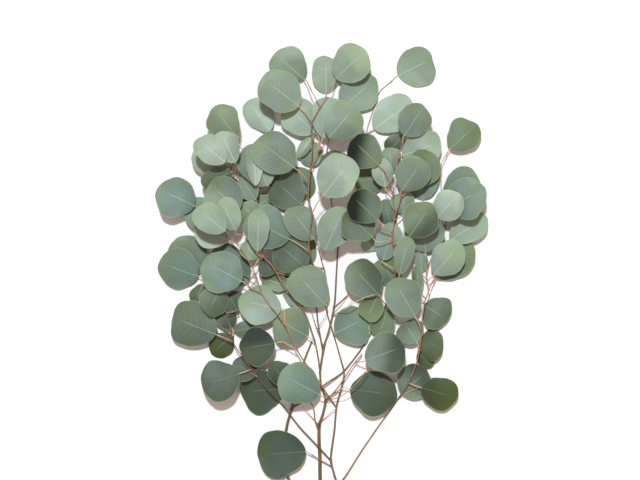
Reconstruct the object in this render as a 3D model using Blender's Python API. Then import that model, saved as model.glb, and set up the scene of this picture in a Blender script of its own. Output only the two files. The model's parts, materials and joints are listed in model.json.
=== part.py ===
"""A cut branch of silver dollar eucalyptus, lying on a surface.

The branch is laid out on a plan: x runs to the right and y towards the cut end, in squares of
PLAN metres. Every leaf and twig has a place on that plan and a level. They are laid down one
after another, lowest level first, each just clear of what is already under it, the way the
branch settles when it is put down. Leaves and the twig that bears them are then one solid.
"""

import math
import random
from dataclasses import dataclass

import bmesh
import bpy
import numpy as np
from mathutils import Matrix, Vector

PLAN = 0.00115  # one square of the plan
PLAN_ORIGIN = (322.0, 283.0)  # the square that lies over the object's origin

LEAF_THICKNESS = 0.0008
LEAF_STATIONS = 6  # points along a leaf's edge, from base to tip
SMALL_LEAF = 30  # squares of width under which a leaf has one point fewer
PETIOLE_WIDTH = 0.0016
PETIOLE_THICKNESS = 0.0012
PETIOLE_BEND = 0.009  # a petiole longer than this bends once on its way
CLEARANCE = 0.0016  # between a leaf or twig and what lies under it
SEAT_GAP = 0.0004  # between a spray's twig and the stem that bears it
TWIG_LIFT = 0.0008  # the least height of a twig over the surface, where no leaf is under it
STEM_POINTS = 0.016  # length of one straight stretch of a stem
STEEPEST = 0.55  # of a twig, rise over run

ROUTE_STEP = 0.002  # between the points at which a twig is tested against the pile
RISE_LENGTH = 0.012  # over which a twig leaves its parent's height
PILE_CELL = 0.002
PILE_REACH = (0.27, 0.34)  # half sizes of the ground covered by the pile

TILTS = [math.radians(angle) for angle in (-20, -15, -10, -5, 0, 5, 10, 15, 20)]
PITCH_WISH = (-0.16, 0.24)  # a leaf's natural tilt, tip up, in radians
ROLL_WISH = (-0.28, 0.28)
TILT_COST = 0.030  # metres of height that a leaf gives up for a radian nearer its natural tilt
ARCH = (-0.0010, 0.0030)  # how far a leaf's middle stands over its ends
DISH = (-0.0025, 0.0030)  # how far its edges stand over its midrib
RIPPLE = (0.0, 0.0009)
LEAN = (-0.06, 0.06)  # how much wider one half is than the other
WIDEST = 0.955  # of the outline's formula, which brings a leaf to its stated width

COLOURS = {
    "stem": (0.150, 0.085, 0.045),
    "pale": (0.330, 0.440, 0.350),
    "light": (0.270, 0.380, 0.280),
    "grey": (0.200, 0.300, 0.230),
    "dark": (0.100, 0.170, 0.130),
}


@dataclass
class Leaf:
    """One leaf on the plan, from where its petiole joins the blade to its tip."""

    base: tuple
    tip: tuple
    width: float
    level: float
    at: tuple = None  # where its petiole joins the twig, if not at the nearest point
    flat: bool = False


@dataclass
class Twig:
    """One stem or twig: points on the plan, its radii in millimetres, and what it grows from."""

    name: str
    parent: str
    level: float
    radii: tuple
    points: list


@dataclass
class Spray:
    """A stem with the leaves that it bears, as one solid."""

    name: str
    colour: str
    twigs: list
    leaves: list


MAIN_STEM = Spray(
    "main_stem",
    "stem",
    [
        Twig("trunk", None, 0.0, (2.2, 1.8),
             [(322, 521), (321, 500), (320, 480), (320, 460), (319, 440), (319, 425)]),
        Twig("foot", "trunk", 0.30, (1.8, 1.6), [(321, 508), (328, 499), (338, 486)]),
        Twig("outer", "foot", 0.40, (1.3, 1.0),
             [(338, 486), (350, 469), (362, 450), (385, 417), (393, 407), (398, 399)]),
        Twig("side", "trunk", 0.35, (1.7, 1.3),
             [(321, 513), (311, 506), (300, 498), (290, 482), (284, 462), (285, 440), (287, 425), (292, 408)]),
        Twig("centre", "trunk", 0.50, (1.7, 1.3),
             [(319, 425), (323, 413), (326, 402), (324, 395), (321, 385), (320, 372)]),
        Twig("core", "vee", 0.72, (1.1, 0.9),
             [(323, 352), (320, 335), (317, 315), (316, 295), (314, 272)]),
        Twig("vee", "centre", 0.70, (1.3, 1.0),
             [(320, 372), (322, 358), (325, 343), (329, 330), (332, 318), (335, 300), (336, 280), (338, 248)]),
        Twig("side_up", "side", 0.62, (1.1, 0.8), [(292, 408), (297, 385), (303, 364), (312, 341)]),
        Twig("right", "side", 0.75, (1.2, 0.9),
             [(292, 408), (305, 400), (316, 391), (325, 384), (343, 372), (355, 357), (364, 345),
              (371, 333), (383, 311)]),
        Twig("inner", "foot", 0.90, (1.5, 1.0),
             [(338, 486), (331, 461), (333, 440), (335, 425), (336, 408), (338, 400), (342, 385),
              (344, 372), (341, 360), (337, 346)]),
        Twig("left", "inner", 3.4, (1.0, 0.8),
             [(331, 461), (319, 447), (300, 427), (283, 405), (270, 392), (260, 380)]),
        Twig("vee_side", "vee", 3.0, (0.8, 0.6), [(334, 308), (342, 299), (351, 292)]),
    ],
    [],
)

SPRAYS = [
    Spray(
        "spray_centre",
        "grey",
        [
            Twig("centre_stem", "core", 4.6, (1.1, 0.8),
                 [(314, 272), (311, 257), (309, 250), (309, 238), (311, 225), (312, 214), (309, 203),
                  (308, 194), (309, 183), (310, 172), (312, 155), (312, 141)]),
            Twig("centre_fork", "centre_stem", 4.62, (0.7, 0.6), [(310, 172), (313, 158), (319, 150)]),
        ],
        [
            Leaf((289, 239), (247, 218), 44, 4.0, at=(309, 252)),
            Leaf((323, 196), (352, 160), 42, 6.0, at=(312, 214)),
            Leaf((288, 177), (252, 160), 40, 3.0, at=(308, 194)),
            Leaf((294, 168), (257, 140), 43, 5.0, at=(309, 182)),
            Leaf((308, 200), (295, 168), 30, 2.0),
            Leaf((322, 148), (299, 157), 27, 2.0, at=(319, 150)),
            Leaf((314, 133), (286, 104), 38, 3.2, at=(319, 150)),
            Leaf((323, 138), (338, 99), 40, 4.2, at=(319, 150)),
            Leaf((301, 204), (275, 181), 40, 3.0, at=(309, 198)),
            Leaf((306, 268), (278, 243), 40, 3.0),
            Leaf((313, 136), (298, 157), 12, 2.5),
        ],
    ),
    Spray(
        "spray_top",
        "grey",
        [
            Twig("top_stem", "centre_stem", 4.7, (0.8, 0.6), [(312, 141), (312, 122), (316, 113), (320, 107)]),
            Twig("top_left", "top_stem", 5.12, (0.6, 0.55), [(320, 107), (315, 96), (310, 89)]),
            Twig("top_right", "top_stem", 5.14, (0.6, 0.55), [(320, 107), (325, 96), (331, 88)]),
        ],
        [
            Leaf((303.5, 79), (275, 53), 38, 3.0),
            Leaf((299, 107), (262, 79), 42, 5.0, at=(312, 122)),
            Leaf((336, 79), (366, 52), 40, 5.0),
            Leaf((326, 94), (326, 56), 30, 3.0, at=(327, 93)),
        ],
    ),
    Spray(
        "spray_inner",
        "grey",
        [
            Twig("inner_stem", "vee", 2.6, (0.9, 0.6),
                 [(338, 248), (336, 228), (332, 206), (329, 185), (326, 160), (328, 143)]),
            Twig("inner_tip", "inner_stem", 2.7, (0.6, 0.5), [(328, 143), (333, 125), (338, 113)]),
        ],
        [
            Leaf((329, 138), (355, 107), 40, 5.0),
            Leaf((341, 109), (375, 79), 38, 3.5),
            Leaf((345, 188), (330, 151), 34, 1.0),
        ],
    ),
    Spray(
        "spray_middle",
        "grey",
        [
            Twig("middle_stem", "inner", 1.5, (0.9, 0.7),
                 [(337, 346), (331, 325), (326, 310), (327, 292), (326, 277), (322, 262), (319, 250)]),
        ],
        [
            Leaf((325, 304), (294, 270), 40, 5.0),
            Leaf((314, 239), (290, 208), 31, 4.0),
            Leaf((325, 250), (344, 208), 34, 4.0),
            Leaf((313, 263), (292, 236), 30, 1.0, flat=True),
            Leaf((335, 333), (366, 318), 42, 3.0),
        ],
    ),
    Spray(
        "spray_right",
        "grey",
        [
            Twig("right_stem", "right", 4.6, (0.9, 0.7),
                 [(383, 311), (390, 295), (394, 280), (395, 262), (394, 250), (392, 240), (393, 225),
                  (397, 208), (402, 195)]),
            Twig("right_spur", "right_stem", 4.62, (0.6, 0.6), [(386, 305), (380, 302), (378, 296)]),
        ],
        [
            Leaf((378, 294), (350, 264), 38, 5.0),
            Leaf((377, 296), (366, 320), 26, 4.0),
            Leaf((388, 309), (378, 337), 26, 3.0),
            Leaf((396, 285), (380, 258), 28, 3.0),
            Leaf((383, 260), (395, 224), 28, 4.0),
            Leaf((399, 274), (408, 236), 20, 6.0),
            Leaf((377, 220), (351, 196), 36, 5.0, at=(391, 234)),
            Leaf((372, 237), (345, 212), 38, 4.0),
            Leaf((377, 250), (362, 240), 16, 3.0),
            Leaf((392, 228), (384, 200), 20, 3.0),
            Leaf((409, 236), (430, 205), 38, 6.0),
            Leaf((402, 190), (422, 160), 36, 5.0),
            Leaf((412, 186), (432, 153), 36, 4.0, at=(402, 195)),
            Leaf((402, 214), (404, 193), 26, 3.0),
        ],
    ),
    Spray(
        "spray_upper_right",
        "grey",
        [
            Twig("upper_stem", "right_stem", 4.4, (0.7, 0.55),
                 [(393, 222), (393, 200), (393, 190), (395, 176), (397, 162), (401, 148), (404, 138)]),
            Twig("upper_left", "upper_stem", 4.42, (0.55, 0.5), [(393, 190), (391, 179), (384, 171)]),
            Twig("far_twig", "upper_stem", 2.5, (0.7, 0.5),
                 [(393, 190), (385, 172), (375, 152), (367, 135), (370, 120), (375, 105), (378, 94),
                  (384, 88), (392, 81)]),
        ],
        [
            Leaf((398, 76), (433, 58), 42, 4.0),
            Leaf((374, 129), (412, 102), 38, 3.0),
            Leaf((404, 136), (423, 107), 34, 5.0),
            Leaf((402, 156), (441, 142), 34, 3.0),
            Leaf((378, 165), (352, 140), 36, 4.0),
            Leaf((383, 187), (358, 172), 34, 3.0),
            Leaf((385, 187), (380, 160), 22, 3.95),
            Leaf((391, 170), (388, 148), 22, 3.0),
            Leaf((403, 136), (388, 152), 20, 2.0),
        ],
    ),
    Spray(
        "spray_outer_right",
        "light",
        [
            Twig("outer_tip", "outer_stem", 4.5, (0.7, 0.55), [(424, 302), (428, 291), (433, 283), (434, 277)]),
            Twig("outer_rise", "outer_tip", 4.4, (0.6, 0.55), [(428, 291), (427, 280), (425, 268), (425, 256)]),
            Twig("outer_left", "outer_tip", 4.3, (0.55, 0.5), [(425, 299), (419, 291), (414, 283)]),
            Twig("outer_back", "outer_rise", 2.4, (0.6, 0.5),
                 [(426, 272), (433, 254), (441, 241), (446, 226), (444, 208), (441, 190), (441, 165), (448, 152)]),
        ],
        [
            Leaf((425, 252), (424, 213), 40, 4.0),
            Leaf((434, 274), (459, 243), 34, 5.0),
            Leaf((437, 277), (470, 243), 40, 3.0),
            Leaf((450, 240), (486, 217), 32, 3.0),
            Leaf((436, 218), (458, 194), 32, 5.0),
            Leaf((442, 208), (484, 191), 42, 4.0),
            Leaf((445, 203), (474, 170), 34, 3.0),
            Leaf((450, 149), (476, 124), 34, 5.0),
            Leaf((419, 293), (416, 266), 12, 4.0),
            Leaf((422, 272), (420, 250), 14, 3.0),
            Leaf((423, 200), (422, 161), 38, 2.0, at=(444, 205)),
        ],
    ),
    Spray(
        "spray_lower_right",
        "dark",
        [
            Twig("outer_stem", "outer", 4.5, (0.9, 0.7),
                 [(398, 399), (405, 388), (410, 378), (415, 366), (419, 352), (420, 340), (422, 315), (424, 302)]),
            Twig("outer_spur", "outer_stem", 4.4, (0.6, 0.55), [(401, 395), (411, 390), (418, 388)]),
        ],
        [
            Leaf((401, 393), (427, 371), 38, 4.0),
            Leaf((421, 387), (457, 398), 34, 5.0),
            Leaf((417, 342), (404, 322), 30, 4.0),
            Leaf((414, 315), (393, 279), 38, 6.0, at=(421, 330)),
            Leaf((424, 305), (448, 320), 36, 3.0),
            Leaf((420, 345), (443, 345), 34, 2.0),
            Leaf((418, 352), (432, 366), 18, 1.0),
        ],
    ),
    Spray(
        "spray_low_centre",
        "dark",
        [
            Twig("low_stem", "centre", 1.6, (0.9, 0.7), [(326, 402), (341, 383), (352, 366), (362, 354)]),
        ],
        [
            Leaf((365, 360), (404, 346), 42, 6.0),
            Leaf((350, 389), (396, 395), 46, 3.0, at=(350, 370)),
        ],
    ),
    Spray(
        "spray_low_left",
        "dark",
        [
            Twig("low_left_stem", "inner", 4.7, (0.9, 0.7),
                 [(336, 408), (331, 400), (323, 387), (313, 373), (303, 359), (297, 350), (291, 337),
                  (286, 326), (278, 315), (270, 305), (262, 294), (248, 287)]),
        ],
        [
            Leaf((319, 394), (280, 373), 42, 6.0),
            Leaf((275, 343), (241, 348), 40, 5.0, at=(297, 350)),
            Leaf((281, 309), (240, 300), 40, 4.0, at=(286, 326)),
            Leaf((242, 281), (204, 262), 44, 6.0),
        ],
    ),
    Spray(
        "spray_left_arm",
        "grey",
        [
            Twig("arm_stem", "vee", 3.6, (1.0, 0.7),
                 [(320, 372), (317, 350), (313, 335), (308, 320), (304, 311), (296, 301), (285, 287),
                  (279, 277), (272, 265), (263, 256)]),
        ],
        [
            Leaf((258, 251), (260, 209), 22, 5.0),
            Leaf((307, 336), (275, 318), 40, 3.0),
            Leaf((286, 276), (303, 306), 26, 2.0),
            Leaf((290, 287), (262, 277), 18, 2.0),
            Leaf((264, 257), (273, 275), 22, 2.0),
        ],
    ),
    Spray(
        "spray_left",
        "grey",
        [
            Twig("left_stem", "low_left_stem", 4.75, (0.7, 0.55),
                 [(262, 294), (257, 278), (256, 270), (250, 262), (243, 252), (237, 243), (230, 235)]),
            Twig("left_low", "left_stem", 2.5, (0.6, 0.5), [(257, 279), (248, 277), (236, 274), (214, 276), (203, 277)]),
            Twig("left_high", "left_stem", 2.6, (0.6, 0.5), [(237, 243), (222, 234), (208, 220), (200, 210)]),
        ],
        [
            Leaf((226, 231), (197, 208), 29, 6.0),
            Leaf((258, 258), (244, 242), 20, 3.0),
            Leaf((248, 282), (212, 250), 40, 1.0, at=(256, 272)),
            Leaf((205, 270), (172, 243), 42, 2.0),
            Leaf((228, 240), (196, 226), 32, 4.0),
            Leaf((198, 276), (160, 262), 42, 5.0),
            Leaf((195, 206), (158, 190), 42, 5.0),
            Leaf((215, 232), (190, 200), 34, 2.0),
            Leaf((222, 285), (208, 314), 30, 4.5),
            Leaf((203, 284), (194, 304), 18, 1.0),
        ],
    ),
    Spray(
        "spray_upper_left",
        "pale",
        [
            Twig("far_left_stem", "arm_stem", 2.8, (0.8, 0.55),
                 [(263, 256), (261, 235), (254, 213), (247, 195), (243, 187), (237, 176), (230, 168)]),
            Twig("far_left_spur", "far_left_stem", 2.9, (0.6, 0.5), [(254, 205), (256, 192)]),
            Twig("far_left_tip", "far_left_spur", 2.2, (0.6, 0.5), [(256, 193), (262, 172), (268, 152), (271, 138)]),
        ],
        [
            Leaf((226, 163), (198, 140), 28, 6.0),
            Leaf((270, 131), (248, 100), 30, 2.0),
            Leaf((256, 186), (253, 147), 17, 4.0),
            Leaf((236, 136), (214, 108), 34, 4.0),
            Leaf((236, 163), (222, 132), 26, 4.5),
            Leaf((228, 172), (197, 146), 40, 3.0),
            Leaf((232, 172), (203, 186), 26, 3.0),
            Leaf((245, 205), (210, 185), 38, 1.0),
            Leaf((240, 210), (210, 184), 40, 3.5),
            Leaf((236, 230), (222, 199), 26, 5.0),
            Leaf((256, 200), (241, 178), 22, 3.0),
            Leaf((268, 186), (248, 146), 38, 3.0),
            Leaf((258, 222), (242, 204), 24, 3.0),
            Leaf((252, 213), (270, 196), 20, 2.0),
        ],
    ),
    Spray(
        "spray_lower_left",
        "dark",
        [
            Twig("lower_stem", "left", 4.6, (0.8, 0.6),
                 [(260, 380), (248, 363), (239, 351), (234, 344), (230, 325), (226, 311)]),
            Twig("lower_spur", "lower_stem", 4.62, (0.6, 0.5), [(227, 313), (232, 308), (239, 309)]),
        ],
        [
            Leaf((240, 373), (202, 385), 42, 4.0, at=(252, 369)),
            Leaf((216, 334), (172, 316), 48, 4.0, at=(232, 342)),
            Leaf((232, 335), (212, 354), 26, 2.0),
            Leaf((232, 328), (220, 310), 22, 3.0),
            Leaf((238, 311), (228, 294), 30, 3.0),
            Leaf((234, 331), (255, 327), 18, 2.0),
            Leaf((256, 375), (234, 362), 30, 3.2),
        ],
    ),
    Spray(
        "spray_foot",
        "dark",
        [
            Twig("foot_stem", "trunk", 2.4, (1.0, 0.7), [(319, 433), (315, 420), (312, 403), (302, 394), (290, 390)]),
        ],
        [
            Leaf((284, 389), (241, 391), 46, 3.0),
            Leaf((287, 386), (272, 362), 24, 4.0),
        ],
    ),
    Spray(
        "low_leaf",
        "dark",
        [
            Twig("low_leaf_stalk", "inner", 1.2, (0.8, 0.7), [(332, 467), (322, 461), (311, 454)]),
        ],
        [
            Leaf((306, 451), (257, 455), 50, 5.0),
        ],
    ),
]


def on_plan(point):
    """The x and y, in metres, of a point of the plan."""
    return np.array([(point[0] - PLAN_ORIGIN[0]) * PLAN, (PLAN_ORIGIN[1] - point[1]) * PLAN])


class Pile:
    """How high the branch reaches so far above each square of the surface."""

    def __init__(self):
        size = [int(2 * reach / PILE_CELL) for reach in PILE_REACH]
        self.top = np.zeros(size)

    def cells(self, points):
        """The cell under each point."""
        index = ((points[:, :2] + PILE_REACH) / PILE_CELL).astype(int)
        return index[:, 0], index[:, 1]

    def needed(self, points):
        """The lowest height allowed at each point: on the surface, or clear of what lies there."""
        top = self.top[self.cells(points)]
        return np.where(top > 0, top + CLEARANCE, 0.0)

    def add(self, points, radius):
        """Raises the cells under the points, and those around them, to the points' own height."""
        column, row = self.cells(points)
        height = points[:, 2] + radius
        for step_x in (-1, 0, 1):
            for step_y in (-1, 0, 1):
                np.maximum.at(self.top, (column + step_x, row + step_y), height)


@dataclass
class Blade:
    """A leaf's true size, its place and the form of its surface."""

    length: float
    width: float
    arch: float
    dish: float
    ripple: float
    phase: float
    lean: float
    frame: Matrix = None

    def point(self, along, across):
        """A point of the middle surface: along runs 0 to 1 from base to tip, across -1 to 1."""
        turn = math.pi * along
        narrowing = 1 - 0.28 * math.cos(turn / 2) ** 4
        half = self.width / 2 * math.sin(turn) * narrowing * (1 + self.lean * across) / WIDEST
        if along < 0.5:
            half = max(half, PETIOLE_WIDTH / 2)
        x = self.length * (1 - math.cos(turn)) / 2
        middle = 2 * x / self.length - 1
        edge = across * across * math.sin(turn)
        z = self.arch * (1 - middle * middle) + self.dish * edge
        z += self.ripple * edge * math.sin(2 * math.pi * 1.7 * along + self.phase)
        return Vector((x, half * across, z))

    def samples(self, count_along, count_across):
        """Points spread over the blade, in its own frame."""
        along = np.linspace(0.0, 1.0, count_along)
        across = np.linspace(-1.0, 1.0, count_across)
        return np.array([self.point(a, b) for a in along for b in across])


def shape_of(leaf, rng):
    """The blade of a leaf, with its own slight arch, dish, ripple and lean."""
    run = on_plan(leaf.tip) - on_plan(leaf.base)
    bend = 0.0 if leaf.flat else 1.0
    return Blade(
        length=float(np.linalg.norm(run)),
        width=leaf.width * PLAN,
        arch=bend * rng.uniform(*ARCH),
        dish=bend * rng.uniform(*DISH),
        ripple=bend * rng.uniform(*RIPPLE),
        phase=rng.uniform(0.0, 2 * math.pi),
        lean=bend * rng.uniform(*LEAN),
    )


def lay_leaf(leaf, pile, rng):
    """Lays a leaf on the pile at the tilt that keeps it low and near the tilt it has by nature."""
    blade = shape_of(leaf, rng)
    base = on_plan(leaf.base)
    run = on_plan(leaf.tip) - base
    heading = Matrix.Rotation(math.atan2(run[1], run[0]), 4, "Z")
    wish = (rng.uniform(*PITCH_WISH), rng.uniform(*ROLL_WISH))
    coarse = blade.samples(11, 7)
    best = None
    tilts = [0.0] if leaf.flat else TILTS
    for pitch in tilts:
        for roll in tilts:
            # the true size grows with the tilt, so that the leaf keeps its outline seen from above
            stretch = Matrix.Diagonal((1 / math.cos(pitch), 1 / math.cos(roll), 1, 1))
            turned = heading @ Matrix.Rotation(-pitch, 4, "Y") @ Matrix.Rotation(roll, 4, "X") @ stretch
            points = coarse @ np.array(turned.to_3x3()).T
            points[:, :2] += base
            lift = float(np.max(pile.needed(points) + LEAF_THICKNESS / 2 - points[:, 2]))
            cost = lift + float(np.mean(points[:, 2]))
            cost += TILT_COST * (abs(pitch - wish[0]) + abs(roll - wish[1]))
            if best is None or cost < best[0]:
                best = (cost, Matrix.Translation((base[0], base[1], lift)) @ turned)
    blade.frame = best[1]
    fine = blade.samples(27, 23)
    points = fine @ np.array(blade.frame.to_3x3()).T + np.array(blade.frame.translation)
    # the finer samples settle the last fraction of a millimetre
    short = float(np.max(pile.needed(points) + LEAF_THICKNESS / 2 - points[:, 2]))
    blade.frame = Matrix.Translation((0, 0, short)) @ blade.frame
    points[:, 2] += short
    pile.add(points, LEAF_THICKNESS / 2)
    return blade


@dataclass
class Stem:
    """A twig as laid: its points in metres and the radius at each."""

    points: np.ndarray
    radii: np.ndarray

    def distance(self, place):
        """How far a place is from the twig's middle line."""
        return crosswise_gap(place, self.points[:-1], self.points[1:])

    def nearest(self, place, skip_start=0.0, skip_end=0.0):
        """The point of the middle line that is nearest to a place of the plan, and its share of the way."""
        lengths = np.linalg.norm(np.diff(self.points, axis=0), axis=1)
        travelled = np.concatenate([[0], np.cumsum(lengths)])
        wanted = np.linspace(0, travelled[-1], int(travelled[-1] / 0.001) + 2)
        line = np.column_stack([np.interp(wanted, travelled, self.points[:, axis]) for axis in range(3)])
        gaps = np.linalg.norm(line[:, :2] - place, axis=1)
        gaps = np.where(wanted < min(skip_start, 0.5 * travelled[-1]), np.inf, gaps)
        gaps = np.where(wanted > travelled[-1] - skip_end, np.inf, gaps)
        found = int(np.argmin(gaps))
        return line[found], wanted[found] / travelled[-1]

    def radius_at(self, share):
        """The radius a share of the way along."""
        return float(np.interp(share, np.linspace(0, 1, len(self.radii)), self.radii))


def crosswise_gap(place, starts, ends):
    """The distance from a place to the nearest of several straight stretches."""
    runs = ends - starts
    share = np.clip(np.sum((place - starts) * runs, axis=1) / np.sum(runs * runs, axis=1), 0, 1)
    return float(np.min(np.linalg.norm(starts + runs * share[:, None] - place, axis=1)))


def smooth_route(points, spacing):
    """A smooth curve through points of the plan, with a point at each spacing."""
    rows = np.array([on_plan(point) for point in points])
    padded = np.vstack([2 * rows[0] - rows[1], rows, 2 * rows[-1] - rows[-2]])
    dense = []
    for index in range(1, len(padded) - 2):
        before, start, end, after = padded[index - 1 : index + 3]
        for step in np.linspace(0, 1, 12, endpoint=False):
            dense.append(
                0.5 * (2 * start + (end - before) * step
                       + (2 * before - 5 * start + 4 * end - after) * step**2
                       + (3 * start - before - 3 * end + after) * step**3)
            )
    dense = np.array(dense + [rows[-1]])
    travelled = np.concatenate([[0], np.cumsum(np.linalg.norm(np.diff(dense, axis=0), axis=1))])
    count = max(2, int(round(travelled[-1] / spacing)) + 1)
    wanted = np.linspace(0, travelled[-1], count)
    return np.column_stack([np.interp(wanted, travelled, dense[:, axis]) for axis in (0, 1)])


def lay_twig(twig, pile, stems):
    """Lays a twig over the pile, from its parent's height, rising and falling gently."""
    fine = smooth_route(twig.points, ROUTE_STEP)
    radii = np.linspace(twig.radii[0], twig.radii[1], len(fine)) / 1000
    needed = pile.needed(fine) + radii
    if twig.parent:
        needed = np.maximum(needed, radii + TWIG_LIFT)
    steps = np.arange(len(fine)) * ROUTE_STEP
    falls = STEEPEST * np.abs(steps[:, None] - steps[None, :])
    height = np.max(needed[None, :] - falls, axis=1)
    if twig.parent in stems:
        start = stems[twig.parent].nearest(fine[0])[0][2]
        share = np.minimum(1.0, steps / RISE_LENGTH)
        height = start * (1 - share) + height * share
    count = max(2, int(steps[-1] / STEM_POINTS) + 1)
    keep = np.round(np.linspace(0, len(fine) - 1, count)).astype(int)
    # each kept point stands for the highest of the stretch around it
    reach = keep[1] - keep[0]
    raised = [height[0]] + [height[max(0, k - reach) : k + reach + 1].max() for k in keep[1:]]
    points = np.column_stack([fine[keep], raised])
    stem = Stem(points, radii[keep])
    stems[twig.name] = stem
    for start, end, radius in zip(points[:-1], points[1:], radii[keep]):
        count = int(np.linalg.norm(end - start) / 0.001) + 2
        pile.add(start + (end - start) * np.linspace(0, 1, count)[:, None], radius)
    return stem


def seat(stem, parent, shared):
    """Starts a twig inside the stem that it is one solid with, or just outside one that it is not."""
    points = stem.points
    radius = stem.radii[0]
    root, share = parent.nearest(points[0, :2])
    if shared:
        points[0] = root
        return
    heading = points[1] - root
    heading /= np.linalg.norm(heading)
    if share == 1.0:
        along = parent.points[-1] - parent.points[-2]
        lean = float(heading @ along) / np.linalg.norm(along)
        points[0] = root + heading * (SEAT_GAP + radius * math.sqrt(1 - lean * lean)) / max(lean, 0.5)
        return
    away = 0.0
    while parent.distance(root + heading * away) < parent.radius_at(share) + SEAT_GAP + 0.9 * radius:
        away += 0.0001
    points[0] = root + heading * away


def tube(name, points, radii, sides):
    """A solid tube along the points, with closed ends, as a mesh."""
    curve = bpy.data.curves.new(name, "CURVE")
    curve.dimensions = "3D"
    curve.bevel_depth = 1.0
    curve.bevel_resolution = {4: 0, 6: 1, 8: 2}[sides]
    curve.use_fill_caps = True
    spline = curve.splines.new("POLY")
    spline.points.add(len(points) - 1)
    for point, place, radius in zip(spline.points, points, radii):
        point.co = (*place, 1.0)
        point.radius = radius
    guide = bpy.data.objects.new(name, curve)
    bpy.context.scene.collection.objects.link(guide)
    bpy.context.view_layer.update()
    mesh = bpy.data.meshes.new_from_object(guide.evaluated_get(bpy.context.evaluated_depsgraph_get()))
    bpy.data.objects.remove(guide)
    welded = bmesh.new()
    welded.from_mesh(mesh)
    bmesh.ops.remove_doubles(welded, verts=welded.verts, dist=1e-6)
    bmesh.ops.recalc_face_normals(welded, faces=welded.faces)
    welded.to_mesh(mesh)
    welded.free()
    return mesh


def petiole_route(leaf, blade, stems):
    """A petiole's way from the leaf's base, back along the leaf and down into the twig."""
    base = blade.frame @ blade.point(0.0, 0.0)
    back = (base - blade.frame @ blade.point(0.3, 0.0)).normalized()
    wanted = on_plan(leaf.at) if leaf.at else np.array((base + back * 0.010)[:2])
    choices = []
    for stem in stems:
        place, _ = stem.nearest(wanted, skip_start=0.004, skip_end=0.0015)
        choices.append((np.linalg.norm(place[:2] - wanted) + 0.3 * abs(place[2] - base.z), tuple(place)))
    foot = Vector(min(choices)[1])
    reach = (foot - base).length
    if reach < PETIOLE_BEND:
        return [base, foot]
    knee = base + back * min(0.4 * reach, 0.6 * (foot - base).xy.length)
    knee.z = base.z + 0.4 * (foot.z - base.z) + 0.0005
    knee.z = max(knee.z, PETIOLE_THICKNESS)
    return [base, knee, foot]


def leaf_mesh(leaf, blade, route):
    """A leaf as one closed shape: a grid drawn in to its outline, thickened, its base drawn out as the petiole."""
    stations = LEAF_STATIONS - (1 if leaf.width < SMALL_LEAF else 0)
    form = bmesh.new()
    bmesh.ops.create_grid(form, x_segments=stations - 1, y_segments=2, size=1)
    up = (blade.frame.to_3x3() @ Vector((0, 0, 1))).normalized()
    for vertex in form.verts:
        vertex.co = blade.frame @ blade.point((vertex.co.x + 1) / 2, vertex.co.y) + up * (LEAF_THICKNESS / 2)
    bmesh.ops.remove_doubles(form, verts=form.verts, dist=1e-5)
    start = sorted(form.verts, key=lambda vertex: (vertex.co - route[0]).length)[:3]
    middle, beside = start[0], start[1]
    bmesh.ops.pointmerge(form, verts=[middle, beside], merge_co=beside.co)
    bmesh.ops.triangulate(form, faces=form.faces)
    back = bmesh.ops.duplicate(form, geom=form.verts[:] + form.edges[:] + form.faces[:])["geom"]
    for item in back:
        if isinstance(item, bmesh.types.BMVert):
            item.co -= up * LEAF_THICKNESS
    bmesh.ops.bridge_loops(form, edges=[edge for edge in form.edges if edge.is_boundary])
    bmesh.ops.recalc_face_normals(form, faces=form.faces)
    base = route[0]
    near = PETIOLE_WIDTH * 0.75
    end = [face for face in form.faces if all((corner.co - base).length < near for corner in face.verts)]
    headings = [(after - before).normalized() for before, after in zip(route[:-1], route[1:])]
    facing = -(blade.frame.to_3x3() @ Vector((1, 0, 0))).normalized()
    for step, place in enumerate(route[1:]):
        onward = (headings[step] + headings[min(step + 1, len(headings) - 1)]).normalized()
        turn = facing.rotation_difference(onward)
        pushed = bmesh.ops.extrude_face_region(form, geom=end)["geom"]
        bmesh.ops.delete(form, geom=end, context="FACES_KEEP_BOUNDARY")
        end = [item for item in pushed if isinstance(item, bmesh.types.BMFace)]
        for vertex in [item for item in pushed if isinstance(item, bmesh.types.BMVert)]:
            offset = vertex.co - route[step]
            if step == 0:
                offset += up * (offset.dot(up) * (PETIOLE_THICKNESS / LEAF_THICKNESS - 1))
            vertex.co = place + turn @ offset
        facing = onward
    bmesh.ops.triangulate(form, faces=form.faces)
    bmesh.ops.recalc_face_normals(form, faces=form.faces)
    mesh = bpy.data.meshes.new("leaf")
    form.to_mesh(mesh)
    form.free()
    return mesh


def material(name, colour):
    """A matt surface of one colour."""
    made = bpy.data.materials.new(name)
    made.use_nodes = True
    shader = made.node_tree.nodes["Principled BSDF"]
    shader.inputs["Base Color"].default_value = (*colour, 1.0)
    shader.inputs["Roughness"].default_value = 0.6
    shader.inputs["Metallic"].default_value = 0.0
    return made


def join(name, meshes, surface, home):
    """One solid made of several that overlap where they grow together."""
    pieces = bpy.data.collections.new(name + "_pieces")
    bpy.context.scene.collection.children.link(pieces)
    whole = bpy.data.objects.new(name, meshes[0])
    home.objects.link(whole)
    for index, mesh in enumerate(meshes[1:]):
        pieces.objects.link(bpy.data.objects.new(f"{name}_{index}", mesh))
    union = whole.modifiers.new("Union", "BOOLEAN")
    union.operation = "UNION"
    union.operand_type = "COLLECTION"
    union.collection = pieces
    bpy.context.view_layer.update()
    joined = bpy.data.meshes.new_from_object(whole.evaluated_get(bpy.context.evaluated_depsgraph_get()))
    whole.modifiers.clear()
    whole.data = joined
    joined.name = name
    joined.materials.clear()
    joined.materials.append(surface)
    joined.shade_smooth()
    joined.set_sharp_from_angle(angle=math.radians(50))
    for piece in list(pieces.objects):
        bpy.data.objects.remove(piece)
    bpy.data.collections.remove(pieces)
    return whole


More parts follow.
